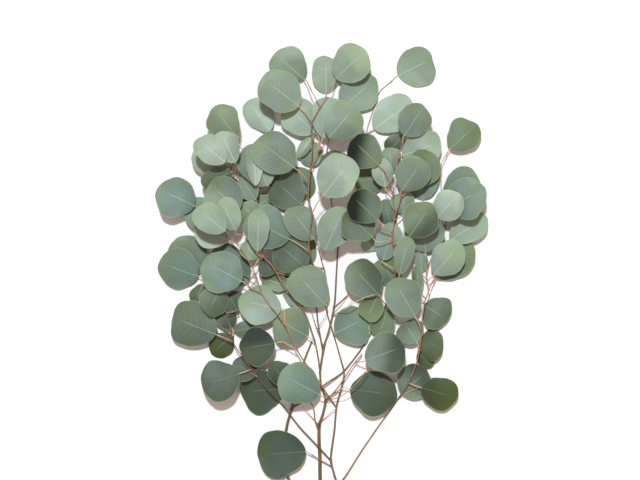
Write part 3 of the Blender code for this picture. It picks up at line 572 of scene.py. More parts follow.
class Layout:
    """Lays every twig and leaf down, lowest level first, each just clear of what is under it."""

    def __init__(self, sprays: Sequence[Spray]) -> None:
        """Lays all of the sprays.

        Args:
            sprays: the branch's sprays, its bare stems first.
        """
        self.pile = Pile()
        self.stems: Dict[str, Stem] = {}
        self.blades: Dict[Tuple[PlanPoint, PlanPoint], Blade] = {}
        items = [item for spray in sprays for item in spray.twigs + spray.leaves]
        for item in sorted(items, key=lambda item: item.level):
            if isinstance(item, Twig):
                self.lay_twig(item)
            else:
                self.lay_leaf(item)
        for spray in sprays:
            for sprig in spray.sprigs:
                self.lay_twig(sprig)
        for spray in sprays:
            for twig in spray.twigs + spray.sprigs:
                if twig.parent:
                    stem = self.stems[twig.name]
                    stem.points[0] = self.stems[twig.parent].nearest(stem.points[0, :2])

    def lay_leaf(self, leaf: Leaf) -> None:
        """Lays a leaf at the tilt that keeps it low and near the tilt it has by nature.

        Args:
            leaf: the leaf on the plan.
        """
        rng = random.Random(f"{leaf.base}{leaf.tip}")
        base = on_plan(leaf.base)
        run = on_plan(leaf.tip) - base
        bend = 0.0 if leaf.flat else 1.0
        blade = Blade(
            length=float(np.linalg.norm(run)),
            width=leaf.width * PLAN,
            arch=bend * rng.uniform(*ARCH),
            dish=bend * rng.uniform(*DISH),
            ripple=bend * rng.uniform(*RIPPLE),
            phase=rng.uniform(0.0, 2 * math.pi),
            lean=bend * rng.uniform(*LEAN),
        )
        heading = Matrix.Rotation(math.atan2(run[1], run[0]), 4, "Z")
        wish = (rng.uniform(*PITCH_WISH), rng.uniform(*ROLL_WISH))
        coarse = blade.samples(*COARSE_POINTS)
        best = None
        tilts = [0.0] if leaf.flat else TILTS
        for pitch in tilts:
            for roll in tilts:
                stretch = Matrix.Diagonal((1 / math.cos(pitch), 1 / math.cos(roll), 1, 1))
                turned = heading @ Matrix.Rotation(-pitch, 4, "Y") @ Matrix.Rotation(roll, 4, "X") @ stretch
                points = coarse @ np.array(turned.to_3x3()).T
                points[:, :2] += base
                lift = float(np.max(self.pile.needed(points) + LEAF_THICKNESS / 2 - points[:, 2]))
                cost = lift + float(np.mean(points[:, 2]))
                cost += TILT_COST * (abs(pitch - wish[0]) + abs(roll - wish[1]))
                if best is None or cost < best[0]:
                    best = (cost, Matrix.Translation((base[0], base[1], lift)) @ turned)
        blade.frame = best[1]
        points = blade.samples(*FINE_POINTS) @ np.array(blade.frame.to_3x3()).T
        points += np.array(blade.frame.translation)
        short = float(np.max(self.pile.needed(points) + LEAF_THICKNESS / 2 - points[:, 2]))
        blade.frame = Matrix.Translation((0, 0, short)) @ blade.frame
        points[:, 2] += short
        self.pile.add(points, LEAF_THICKNESS / 2)
        self.blades[leaf.base, leaf.tip] = blade

    def lay_twig(self, twig: Twig) -> None:
        """Lays a twig over the pile, from its parent's height, rising and falling gently.

        Args:
            twig: the twig on the plan.
        """
        fine = rounded(np.array([on_plan(point) for point in twig.points]), ROUTE_STEP)
        radii = np.linspace(twig.radii[0], twig.radii[1], len(fine)) * MILLIMETRE
        needed = self.pile.needed(fine) + radii
        if twig.parent:
            needed = np.maximum(needed, radii + TWIG_LIFT)
        steps = np.arange(len(fine)) * ROUTE_STEP
        falls = STEEPEST * np.abs(steps[:, None] - steps[None, :])
        height = np.max(needed[None, :] - falls, axis=1)
        if twig.parent in self.stems:
            start = self.stems[twig.parent].nearest(fine[0])[2]
            share = np.minimum(1.0, steps / RISE_LENGTH)
            height = start * (1 - share) + height * share
        count = max(2, int(steps[-1] / STEM_POINTS) + 1)
        keep = np.round(np.linspace(0, len(fine) - 1, count)).astype(int)
        reach = keep[1] - keep[0]
        raised = [height[0]] + [height[max(0, k - reach) : k + reach + 1].max() for k in keep[1:]]
        points = np.column_stack([fine[keep], raised])
        self.stems[twig.name] = Stem(points, radii[keep])
        for start, end, radius in zip(points[:-1], points[1:], radii[keep]):
            shares = np.linspace(0, 1, int(np.linalg.norm(end - start) / LINE_STEP) + 2)[:, None]
            self.pile.add(start + (end - start) * shares, radius)

    def petiole_route(self, leaf: Leaf, twigs: Sequence[Twig]) -> List[Vector]:
        """A petiole's way from the leaf's base down into the twig.

        Args:
            leaf: the leaf it bears.
            twigs: the twigs of its spray, of which the nearest is taken.

        Returns:
            The base, its knee or dips if it has them, and the foot on the twig's middle line.
        """
        blade = self.blades[leaf.base, leaf.tip]
        base = blade.place(0.0, 0.0)
        back = (base - blade.place(LINE_FROM, 0.0)).normalized()
        wanted = on_plan(leaf.at) if leaf.at else np.array((base + back * FOOT_REACH)[:2])
        choices = []
        for twig in twigs:
            place = self.stems[twig.name].nearest(wanted, FOOT_AFTER, FOOT_BEFORE)
            far = np.linalg.norm(place[:2] - wanted) + HEIGHT_WEIGHT * abs(place[2] - base.z)
            choices.append((far, tuple(place)))
        foot = Vector(min(choices)[1])
        if leaf.low:
            dip = (foot - base).normalized() * PETIOLE_DIP
            way = [base, base + dip, foot - dip, foot]
            for place in way[1:3]:
                place.z = min(base.z, foot.z)
            return way
        reach = (foot - base).length
        if reach < PETIOLE_BEND:
            return [base, foot]
        straight = max(KNEE_LEAST, back.dot((foot - base).normalized()))
        knee = base + back * min(KNEE_ALONG * reach, KNEE_MOST * (foot - base).xy.length) * straight
        knee.z = max(base.z + KNEE_ALONG * (foot.z - base.z) + KNEE_RISE, KNEE_HEIGHT)
        return [base, knee, foot]


def linear(colour: Sequence[float]) -> Tuple[float, float, float, float]:
    """A shader's colour for a colour in screen values.

    Args:
        colour: red, green and blue, from 0 to 255.

    Returns:
        The linear colour, with full cover.
    """
    parts = [value / 255 for value in colour]
    parts = [part / 12.92 if part <= 0.04045 else ((part + 0.055) / 1.055) ** 2.4 for part in parts]
    return (*parts, 1.0)


class Graph:
    """Short ways to add and join nodes in one node tree."""

    def __init__(self, tree: bpy.types.NodeTree) -> None:
        """Works on an empty tree.

        Args:
            tree: a material's or a group's node tree.
        """
        self.tree = tree
        tree.nodes.clear()

    def node(self, kind: str, **settings: object) -> bpy.types.Node:
        """Adds a node.

        Args:
            kind: the node's type.
            **settings: its properties.

        Returns:
            The node.
        """
        made = self.tree.nodes.new(kind)
        for name, value in settings.items():
            setattr(made, name, value)
        return made

    def feed(self, socket: bpy.types.NodeSocket, value: object) -> None:
        """Links a socket, or sets its constant.

        Args:
            socket: a node's input.
            value: the output that it is linked to, or the constant.
        """
        if isinstance(value, bpy.types.NodeSocket):
            self.tree.links.new(value, socket)
        else:
            socket.default_value = value

    def math(self, operation: str, first: object, second: object = 0.0, third: object = 0.0,
             clamp: bool = False) -> bpy.types.NodeSocket:
        """One Math node.

        Args:
            operation: what it works out.
            first: its first value, a socket or a number, as the next two are.
            second: its second value.
            third: its third value.
            clamp: whether the result is held between 0 and 1.

        Returns:
            The result.
        """
        made = self.node("ShaderNodeMath", operation=operation, use_clamp=clamp)
        self.feed(made.inputs[0], first)
        self.feed(made.inputs[1], second)
        self.feed(made.inputs[2], third)
        return made.outputs[0]

    def blend(self, share: object, first: object, second: object) -> bpy.types.NodeSocket:
        """A mix of two colours.

        Args:
            share: how much there is of the second.
            first: a socket or a colour.
            second: a socket or a colour.

        Returns:
            The mixed colour.
        """
        made = self.node("ShaderNodeMix", data_type="RGBA")
        self.feed(made.inputs["Factor"], share)
        self.feed(made.inputs["A"], first)
        self.feed(made.inputs["B"], second)
        return made.outputs["Result"]

    def band(self, value: object, low: object, high: object, to_low: float = 0.0,
             to_high: float = 1.0) -> bpy.types.NodeSocket:
        """A value eased from one range to another, held at its ends.

        Args:
            value: the value.
            low: where the first range starts.
            high: where it ends.
            to_low: what its start becomes.
            to_high: what its end becomes.

        Returns:
            The eased value.
        """
        made = self.node("ShaderNodeMapRange", interpolation_type="SMOOTHSTEP")
        for socket, amount in zip(made.inputs, (value, low, high, to_low, to_high)):
            self.feed(socket, amount)
        return made.outputs[0]

    def attribute(self, name: str) -> bpy.types.Node:
        """The node that reads one of the mesh's own attributes."""
        return self.node("ShaderNodeAttribute", attribute_type="GEOMETRY", attribute_name=name)

    def place(self, group: bpy.types.NodeTree, **values: object) -> bpy.types.Node:
        """Adds a group.

        Args:
            group: the group's tree.
            **values: what its inputs are given.

        Returns:
            The group's node.
        """
        made = self.node("ShaderNodeGroup", node_tree=group)
        for name, value in values.items():
            self.feed(made.inputs[name], value)
        return made

    def noise(self, where: object, scale: float, detail: float = 2.0,
              distortion: float = 0.0) -> bpy.types.NodeSocket:
        """Soft noise.

        Args:
            where: the place it is read at.
            scale: how fine it is.
            detail: how many finer layers it has.
            distortion: how much it swirls.

        Returns:
            Its value.
        """
        made = self.node("ShaderNodeTexNoise")
        for name, value in (("Vector", where), ("Scale", scale), ("Detail", detail),
                            ("Distortion", distortion)):
            self.feed(made.inputs[name], value)
        return made.outputs["Fac"]

    def surface(self, colour: object, roughness: object, shine: object, height: object, strength: float,
                depth: float) -> None:
        """Ends a material's tree with a plain surface and its bumps.

        Args:
            colour: the surface's colour.
            roughness: how matt it is.
            shine: how strongly it reflects.
            height: the height of its bumps.
            strength: how much of them is seen.
            depth: how high the highest is, in metres.
        """
        bump = self.node("ShaderNodeBump")
        self.feed(bump.inputs["Strength"], strength)
        self.feed(bump.inputs["Distance"], depth)
        self.feed(bump.inputs["Height"], height)
        shader = self.node("ShaderNodeBsdfPrincipled")
        self.feed(shader.inputs["Base Color"], colour)
        self.feed(shader.inputs["Roughness"], roughness)
        self.feed(shader.inputs["Specular IOR Level"], shine)
        self.feed(shader.inputs["Normal"], bump.outputs["Normal"])
        out = self.node("ShaderNodeOutputMaterial")
        self.feed(out.inputs["Surface"], shader.outputs["BSDF"])


def fresh_material(name: str) -> Tuple[bpy.types.Material, Graph]:
    """A new material with an empty tree.

    Args:
        name: the material's name.

    Returns:
        The material and the graph that fills it.
    """
    material = bpy.data.materials.new(name)
    material.use_nodes = True
    return material, Graph(material.node_tree)


@dataclass
class Effects:
    """The node groups that several finishes share, each built once."""

    vein_curve: float = 1.35  # over 1, side veins turn towards the tip on their way out
    vein_wander: float = 0.10
    vein_offset: float = 0.21  # sets the veins of one half between those of the other
    vein_fade: Tuple[float, float] = (0.10, 0.46)  # from the midrib out
    vein_end: float = 0.15
    net_scale: float = 22.0
    net_line: float = 0.09
    streak_scale: float = 900.0
    streak_length: float = 60.0
    dot_scale: float = 420.0
    dot_edge: Tuple[float, float] = (0.12, 0.28)

    def __post_init__(self) -> None:
        """Builds the groups."""
        self.veins = self.build_veins()
        self.bloom = self.build_bloom()
        self.grain = self.build_grain()

    @staticmethod
    def group(name: str, inputs: Sequence[Tuple[str, str, float]],
              outputs: Sequence[str]) -> Tuple[bpy.types.NodeTree, Graph, bpy.types.Node, bpy.types.Node]:
        """An empty group with its sockets.

        Args:
            name: the group's name.
            inputs: name, kind ("Float" or "Vector") and default of each input.
            outputs: names of the value outputs.

        Returns:
            The tree, its graph, the group's input node and its output node.
        """
        tree = bpy.data.node_groups.new(name, "ShaderNodeTree")
        for label, kind, default in inputs:
            socket = tree.interface.new_socket(name=label, in_out="INPUT", socket_type="NodeSocket" + kind)
            if kind == "Float":
                socket.default_value = default
        for label in outputs:
            tree.interface.new_socket(name=label, in_out="OUTPUT", socket_type="NodeSocketFloat")
        graph = Graph(tree)
        return tree, graph, graph.node("NodeGroupInput"), graph.node("NodeGroupOutput")

    def build_veins(self) -> bpy.types.NodeTree:
        """Side veins that leave the midrib in pairs and curve towards the tip, and a fine net between.

        Returns:
            The group.
        """
        tree, graph, given, made = self.group(
            "leaf veins",
            [("Blade", "Vector", 0.0), ("Spacing", "Float", 0.1), ("Slant", "Float", 0.8),
             ("Width", "Float", 0.12)],
            ["Side Veins", "Net"],
        )
        blade = given.outputs["Blade"]
        parts = graph.node("ShaderNodeSeparateXYZ")
        graph.feed(parts.inputs[0], blade)
        away = graph.math("ABSOLUTE", parts.outputs["Y"])
        bow = graph.math("MULTIPLY", graph.math("POWER", away, self.vein_curve), given.outputs["Slant"])
        start = graph.math("SUBTRACT", parts.outputs["X"], bow)
        wander = graph.math("MULTIPLY", graph.noise(blade, 7.0), self.vein_wander)
        start = graph.math("ADD", start, wander)
        side = graph.math("MULTIPLY", graph.math("SIGN", parts.outputs["Y"]), self.vein_offset)
        turns = graph.math("ADD", graph.math("DIVIDE", start, given.outputs["Spacing"]), side)
        off = graph.math("ABSOLUTE", graph.math("SUBTRACT", graph.math("FRACT", turns), 0.5))
        line = graph.band(off, 0.0, given.outputs["Width"], 1.0, 0.0)
        fade = graph.band(away, *self.vein_fade, 1.0, self.vein_end)
        graph.feed(made.inputs["Side Veins"], graph.math("MULTIPLY", line, fade))
        net = graph.node("ShaderNodeTexVoronoi", feature="DISTANCE_TO_EDGE")
        graph.feed(net.inputs["Vector"], blade)
        graph.feed(net.inputs["Scale"], self.net_scale)
        graph.feed(made.inputs["Net"], graph.band(net.outputs["Distance"], 0.0, self.net_line, 1.0, 0.0))
        return tree

    def build_bloom(self) -> bpy.types.NodeTree:
        """Soft patches, as in the waxy bloom of a leaf or the uneven colour of bark.

        Returns:
            The group.
        """
        tree, graph, given, made = self.group(
            "bloom patches", [("Position", "Vector", 0.0), ("Size", "Float", 0.02)],
            ["Patches", "Clouds", "Specks"])
        scaled = graph.node("ShaderNodeVectorMath", operation="SCALE")
        graph.feed(scaled.inputs[0], given.outputs["Position"])
        graph.feed(scaled.inputs["Scale"], graph.math("DIVIDE", 1.0, given.outputs["Size"]))
        where = scaled.outputs[0]
        graph.feed(made.inputs["Patches"], graph.band(graph.noise(where, 1.0, 3.0), 0.32, 0.68))
        graph.feed(made.inputs["Clouds"], graph.band(graph.noise(where, 0.7, 1.0, 0.8), 0.35, 0.65))
        graph.feed(made.inputs["Specks"], graph.band(graph.noise(where, 18.0, 2.0), 0.35, 0.75))
        return tree

    def build_grain(self) -> bpy.types.NodeTree:
        """Fine lengthwise streaks and small corky dots of a young stem.

        Returns:
            The group.
        """
        tree, graph, given, made = self.group(
            "stem grain", [("Position", "Vector", 0.0), ("Along", "Float", 0.0)], ["Streaks", "Dots"])
        parts = graph.node("ShaderNodeSeparateXYZ")
        graph.feed(parts.inputs[0], given.outputs["Position"])
        joined = graph.node("ShaderNodeCombineXYZ")
        for axis in ("X", "Z"):
            graph.feed(joined.inputs[axis], graph.math("MULTIPLY", parts.outputs[axis], self.streak_scale))
        along = graph.math("MULTIPLY", given.outputs["Along"], self.streak_length)
        graph.feed(joined.inputs["Y"], along)
        streaks = graph.noise(joined.outputs[0], 1.0, 3.0)
        graph.feed(made.inputs["Streaks"], graph.band(streaks, 0.3, 0.7))
        dots = graph.node("ShaderNodeTexVoronoi")
        graph.feed(dots.inputs["Vector"], given.outputs["Position"])
        graph.feed(dots.inputs["Scale"], self.dot_scale)
        graph.feed(made.inputs["Dots"], graph.band(dots.outputs["Distance"], *self.dot_edge, 1.0, 0.0))
        return tree


@dataclass(frozen=True)
class LeafFinish:
    """How one tone of leaf looks. The shares say how much of a colour is laid over the face."""

    tone: Tone
    face: Colour
    flush: Colour  # in patches, at the tip and along the rim
    rib: Colour  # of the midrib, the veins and the specks
    # the colour of the painted shade, and of the random clouds
    dark: Colour = (30, 37, 29)
    rim: Colour = (172, 180, 150)
    bloom_size: float = 0.024
    patch_share: float = 0.75
    tip_share: float = 0.7
    cloud_share: float = 0.20
    speck_share: float = 0.06
    vein_share: float = 0.17
    net_share: float = 0.04
    rim_share: float = 0.50
    rim_glow: float = 0.4  # the flush along the rim
    rib_share: float = 0.70
    roughness: float = 0.50
    shine: float = 0.35
    painted_shade_shine: float = -0.26  # what a face darkened by painted shade loses of its shine
    bump_strength: float = 0.35
    bump_depth: float = 0.0003

    def build(self, effects: Effects) -> bpy.types.Material:
        """Builds the material.

        Args:
            effects: the shared node groups.

        Returns:
            The leaf's material.
        """
        material, graph = fresh_material("leaf_" + self.tone.value)
        blade = graph.attribute("blade").outputs["Vector"]
        painted_shade_and_dark_bark = graph.attribute("painted_shade_and_dark_bark").outputs["Fac"]
        rim = graph.attribute("rim").outputs["Fac"]
        rib = graph.math("ABSOLUTE", graph.attribute("rib").outputs["Fac"])
        where = graph.node("ShaderNodeTexCoord").outputs["Object"]
        bloom = graph.place(effects.bloom, Position=where, Size=self.bloom_size).outputs
        veins = graph.place(effects.veins, Blade=blade, Spacing=0.13, Slant=0.85, Width=0.10).outputs
        parts = graph.node("ShaderNodeSeparateXYZ")
        graph.feed(parts.inputs[0], blade)
        along = parts.outputs["X"]

        flushed = graph.math("MULTIPLY", bloom["Patches"], self.patch_share)
        flushed = graph.math("ADD", flushed, graph.band(along, 0.45, 1.0, 0.0, self.tip_share))
        flushed = graph.math("ADD", flushed, graph.band(rim, 0.0, 0.006, self.rim_glow, 0.0), clamp=True)
        colour = graph.blend(flushed, linear(self.face), linear(self.flush))
        midrib = graph.math("MULTIPLY", graph.band(rib, 0.00020, 0.00065, self.rib_share, 0.0),
                            graph.band(along, 0.55, 0.88, 1.0, 0.0))
        for share, over in (
            (graph.math("MULTIPLY", bloom["Clouds"], self.cloud_share), self.dark),
            (graph.math("MULTIPLY", bloom["Specks"], self.speck_share), self.rib),
            (graph.math("MULTIPLY", veins["Side Veins"], self.vein_share), self.rib),
            (graph.math("MULTIPLY", veins["Net"], self.net_share), self.rib),
            # painted shade: the darkened side of the blade
            (painted_shade_and_dark_bark, self.dark),
            (graph.band(rim, 0.0001, 0.0008, self.rim_share, 0.0), self.rim),
            (midrib, self.rib),
        ):
            colour = graph.blend(share, colour, linear(over))

        height = graph.math("MULTIPLY", veins["Side Veins"], -0.5)
        height = graph.math("ADD", height, graph.math("MULTIPLY", bloom["Specks"], 0.2))
        roughness = graph.math("MULTIPLY_ADD", bloom["Patches"], 0.10, self.roughness)
        # the painted shade also takes away shine
        shine = graph.math("MULTIPLY_ADD", painted_shade_and_dark_bark, self.painted_shade_shine, self.shine)
        graph.surface(colour, roughness, shine, height, self.bump_strength, self.bump_depth)
        return material


@dataclass(frozen=True)
class StemFinish:
    """How petioles, twigs and stems look, from the green end of a petiole to the old bark."""

    name: str = "stem_bark"
    stops: Tuple[Tuple[float, Colour], ...] = (
        (0.00, (180, 186, 140)),
        (0.10, (202, 180, 130)),
        (0.24, (208, 158, 128)),
        (0.42, (192, 138, 112)),
        (0.56, (150, 110, 82)),
        (0.68, (120, 92, 62)),
        (0.82, (104, 96, 54)),
        (1.00, (98, 70, 38)),
    )
    streak: Colour = (98, 66, 46)
    joint: Colour = (110, 64, 50)
    cork: Colour = (160, 138, 108)
    dark: Colour = (52, 40, 38)
    bloom_size: float = 0.012
    patch_age: float = 0.14  # how much older a patch looks than what is around it
    streak_share: float = 0.22
    joint_share: float = 0.55
    cork_share: float = 0.35
    roughness: float = 0.42
    shine: float = 0.4
    bump_strength: float = 0.4
    bump_depth: float = 0.0002

    def build(self, effects: Effects) -> bpy.types.Material:
        """Builds the material.

        Args:
            effects: the shared node groups.

        Returns:
            The stems' material.
        """
        material, graph = fresh_material(self.name)
        age = graph.attribute("age").outputs["Fac"]
        joint = graph.attribute("joint").outputs["Fac"]
        painted_shade_and_dark_bark = graph.attribute("painted_shade_and_dark_bark").outputs["Fac"]
        where = graph.node("ShaderNodeTexCoord").outputs["Object"]
        grain = graph.place(effects.grain, Position=where, Along=age).outputs
        bloom = graph.place(effects.bloom, Position=where, Size=self.bloom_size).outputs
        change = graph.math("MULTIPLY_ADD", bloom["Patches"], self.patch_age, -self.patch_age / 2)
        ramp = graph.node("ShaderNodeValToRGB")
        graph.feed(ramp.inputs[0], graph.math("ADD", age, change))
        band = ramp.color_ramp
        while len(band.elements) < len(self.stops):
            band.elements.new(0.5)
        for element, (position, colour) in zip(band.elements, self.stops):
            element.position = position
            element.color = linear(colour)

        colour = ramp.outputs["Color"]
        for share, over in (
            (graph.math("MULTIPLY", grain["Streaks"], self.streak_share), self.streak),
            (graph.math("MULTIPLY", joint, self.joint_share), self.joint),
            (graph.math("MULTIPLY", grain["Dots"], graph.band(age, 0.6, 0.9, 0.0, self.cork_share)),
             self.cork),
            (painted_shade_and_dark_bark, self.dark),
        ):
            colour = graph.blend(share, colour, linear(over))
        roughness = graph.math("MULTIPLY_ADD", grain["Streaks"], 0.15, self.roughness)
        graph.surface(colour, roughness, self.shine, grain["Streaks"], self.bump_strength, self.bump_depth)
        return material


@dataclass(frozen=True)
class FloorFinish:
    """The floor: white and matt."""

    name: str = "floor"
    colour: Tuple[float, float, float, float] = (0.86, 0.86, 0.86, 1.0)
    roughness: float = 0.9

    def build(self) -> bpy.types.Material:
        """Builds the material.

        Returns:
            The floor's material.
        """
        material, graph = fresh_material(self.name)
        shader = graph.node("ShaderNodeBsdfPrincipled")
        graph.feed(shader.inputs["Base Color"], self.colour)
        graph.feed(shader.inputs["Roughness"], self.roughness)
        graph.feed(shader.inputs["Specular IOR Level"], 0.0)
        out = graph.node("ShaderNodeOutputMaterial")
        graph.feed(out.inputs["Surface"], shader.outputs["BSDF"])
        return material


# One layer carries both the leaves' painted shade and the darker colour of some twigs.
NUMBER_LAYERS = ("rim", "rib", "painted_shade_and_dark_bark", "age", "joint")  # the vertices' own values, beside "blade"

LEAF_FINISHES = (
    LeafFinish(Tone.PALE, (157, 176, 163), (152, 174, 148), (186, 200, 184)),
    LeafFinish(Tone.LIGHT, (131, 151, 140), (129, 151, 119), (168, 185, 167)),
    LeafFinish(Tone.SAGE, (117, 136, 127), (118, 138, 108), (158, 175, 157)),
    LeafFinish(Tone.GREY, (91, 109, 99), (93, 110, 79), (136, 152, 134)),
    LeafFinish(Tone.BLUE, (96, 121, 116), (104, 125, 100), (146, 166, 153)),
    LeafFinish(Tone.DEEP, (61, 78, 70), (63, 78, 49), (108, 123, 104), vein_share=0.12),
    LeafFinish(Tone.OLIVE, (102, 122, 108), (108, 127, 86), (146, 163, 134)),
    # painted shade: dark olive for leaves lying in the shadow of those above
    LeafFinish(Tone.SHADE, (60, 74, 44), (66, 81, 36), (104, 116, 78), vein_share=0.12,
               rim=(108, 116, 74)),
    # painted shadow: near-black for a leaf seen only in a dark gap
    LeafFinish(Tone.BLACK, (46, 53, 43), (50, 58, 40), (78, 88, 68), vein_share=0.08,
               rim=(78, 86, 64)),
)


@dataclass(frozen=True)
class Wood:
    """What sets a twig apart from the rest."""

    painted_shade_and_dark_bark: float = 0.0  # how much of the dark colour lies over it
    age: Optional[float] = None  # its place among the bark's colours, or by its radius
    girth: float = 0.92  # its width, as a share of the model's


OWN_WOOD: Dict[str, Wood] = {
    "trunk": Wood(age=0.94, girth=1.06),
    "side": Wood(age=1.0, girth=1.15),
    "side_up": Wood(age=0.82, girth=1.25),
    "outer": Wood(age=0.58, girth=0.78),
    "left": Wood(painted_shade_and_dark_bark=0.60, girth=0.84),
    "lower_stem": Wood(painted_shade_and_dark_bark=0.40),
    "core": Wood(painted_shade_and_dark_bark=0.30),
    "middle_stem": Wood(painted_shade_and_dark_bark=0.25),
    "cross_a": Wood(painted_shade_and_dark_bark=0.45),
    "cross_b": Wood(painted_shade_and_dark_bark=0.45),
    "cross_c": Wood(painted_shade_and_dark_bark=0.40),
    "cross_e": Wood(age=0.04),
}


def stamp(form: bmesh.types.BMesh, vertices: Sequence[bmesh.types.BMVert], marks: Dict[str, object]) -> None:
    """Writes values into the vertices' attribute layers.

    Args:
        form: the mesh that holds them.
        vertices: the vertices to mark.
        marks: a number, or a vector, by layer name.
    """
    for name, value in marks.items():
        layers = form.verts.layers.float_vector if isinstance(value, Vector) else form.verts.layers.float
        layer = layers[name]
        for vertex in vertices:
            vertex[layer] = value


def add_mesh(name: str, form: bmesh.types.BMesh) -> bpy.types.Object:
    """Puts a form into the scene.

    Args:
        name: the object's name and its mesh's.
        form: the bmesh, which is used up.

    Returns:
        The object.
    """
    mesh = bpy.data.meshes.new(name)
    form.to_mesh(mesh)
    form.free()
    made = bpy.data.objects.new(name, mesh)
    bpy.context.scene.collection.objects.link(made)
    return made


@dataclass
class BladeMaker:
    """Builds the fine blade of a leaf, and the line of its raised midrib."""

    stations: int = 20
    rows: int = 12
    thickness: float = 0.0005
    corners: float = 0.030  # how far the outline departs from a smooth oval
    waves: Tuple[Tuple[int, float], ...] = ((3, 1.0), (4, 0.9), (5, 0.6), (8, 0.30), (13, 0.16))
    steady: float = 0.3  # the share of the length, from the base, over which it starts to depart
    weld: float = 0.00001  # points of a blade's ends that lie nearer than this become one
    variety: float = 8.0  # how far apart two leaves may read the pattern of their veins
    end_rim: Tuple[float, float] = (0.9, 0.35)  # how the rim's line bends round the blade's ends
    painted_shade_turns: Tuple[float, float] = (-130.0, -20.0)  # painted shade: where a leaf darkens to, if the plan gives nothing, a side away from the light above
    painted_shade_depths: Tuple[float, float] = (0.08, 0.24)  # and how deep that painted shade is
    painted_shade_slope: float = 1.9  # how fast the painted shade darkens across the blade
    painted_shade_start: float = 0.5  # and how far over it starts
    rib_radius: float = 0.00042
    rib_taper: float = 0.60  # how much thinner it is at its end
    rib_span: Tuple[float, float] = (0.02, 0.80)  # of the blade's length
    rib_steps: int = 9
    rib_lift: float = 0.00012
    rib_rim: float = 0.02  # the midrib counts as this far from the rim
    rib_painted_shade: float = 0.5  # the midrib takes this share of the blade's painted shade

    def outline(self, angle: float, phases: Sequence[float]) -> float:
        """How much the blade reaches out or draws in, in one direction from its middle.

        Args:
            angle: the direction, where 0 is the tip.
            phases: the leaf's own random phases.

        Returns:
            A factor near 1.
        """
        swing = sum(math.cos(turns * angle + phase) * share
                    for (turns, share), phase in zip(self.waves, phases))
        return 1 + self.corners * swing

    def build(self, form: bmesh.types.BMesh, leaf: Leaf, blade: Blade, slot: int) -> None:
        """Adds the blade to a form.

        Args:
            form: the spray's bmesh, with its attribute layers.
            leaf: the leaf on the plan.
            blade: where and how it lies.
            slot: the material's place on the piece.
        """
        rng = random.Random(f"fine{leaf.base}{leaf.tip}")
        phases = [rng.uniform(0, 2 * math.pi) for _ in self.waves]
        vary = rng.uniform(0.0, self.variety)
        grid = bmesh.ops.create_grid(form, x_segments=self.stations, y_segments=self.rows, size=1.0)["verts"]
        up = blade.up()
        centre = blade.place(0.5, 0.0)
        # painted shade: the side that the blade darkens to, and how much, from the plan or at random
        turn, depth = leaf.painted_shade_and_dark_bark or (rng.uniform(*self.painted_shade_turns), rng.uniform(*self.painted_shade_depths))
        towards = Vector((math.cos(math.radians(turn)), math.sin(math.radians(turn)), 0.0))
        middle = Vector((blade.length / 2, 0.0, 0.0))
        for vertex in grid:
            along, across = (vertex.co.x + 1) / 2, vertex.co.y
            spot = blade.point(along, across)
            edge = (1 - abs(across)) * abs(blade.point(along, 1.0).y - blade.point(along, -1.0).y) / 2
            end = min(spot.x, blade.length - spot.x)
            out = spot - middle
            near_base = min(1.0, spot.x / (self.steady * blade.length))
            factor = 1 + (self.outline(math.atan2(out.y, out.x), phases) - 1) * near_base
            spot.x, spot.y = middle.x + out.x * factor, out.y * factor
            place = blade.frame @ spot
            share = (place - centre).dot(towards) / blade.length + 0.5
            shade = min(1.0, max(0.0, share * self.painted_shade_slope - self.painted_shade_start))
            stamp(form, [vertex], {
                "rim": min(edge, end * self.end_rim[0] + edge * self.end_rim[1]),
                "rib": spot.y,
                "blade": Vector((spot.x / blade.length, spot.y / blade.length, vary)),
                "painted_shade_and_dark_bark": depth * (0.5 - 0.5 * math.cos(math.pi * shade)),
            })
            vertex.co = place + up * (self.thickness / 2)
        bmesh.ops.remove_doubles(form, verts=grid, dist=self.weld)
        top = [vertex for vertex in grid if vertex.is_valid]
        faces = list({face for vertex in top for face in vertex.link_faces})
        edges = list({edge for vertex in top for edge in vertex.link_edges})
        back = bmesh.ops.duplicate(form, geom=top + edges + faces)["geom"]
        under = [item for item in back if isinstance(item, bmesh.types.BMVert)]
        bmesh.ops.translate(form, verts=under, vec=-up * self.thickness)
        rims = [edge for edge in edges + [item for item in back if isinstance(item, bmesh.types.BMEdge)]
                if edge.is_boundary]
        wall = bmesh.ops.bridge_loops(form, edges=rims)["faces"]
        for face in faces + wall + [item for item in back if isinstance(item, bmesh.types.BMFace)]:
            face.material_index = slot

    def rib_line(self, leaf: Leaf, blade: Blade) -> Tuple[List[Vector], List[float], List[Dict[str, object]]]:
        """The raised midrib, from the blade's base towards its tip.

        Args:
            leaf: the leaf on the plan.
            blade: where and how it lies.

        Returns:
            Its points, and the radius and the attribute values at each.
        """
        shares = [float(share) for share in np.linspace(*self.rib_span, self.rib_steps)]
        lift = blade.up() * self.rib_lift
        points = [blade.place(math.acos(1 - 2 * share) / math.pi, 0.0) + lift for share in shares]
        radii = [self.rib_radius * (1 - self.rib_taper * share / self.rib_span[1]) for share in shares]
        # the midrib takes part of the blade's painted shade
        painted_shade_and_dark_bark = self.rib_painted_shade * (leaf.painted_shade_and_dark_bark[1] if leaf.painted_shade_and_dark_bark else 0.0)
        marks = [{"rim": self.rib_rim, "rib": 0.0, "blade": Vector((share, 0.0, 0.0)), "painted_shade_and_dark_bark": painted_shade_and_dark_bark}
                 for share in shares]
        return points, radii, marks


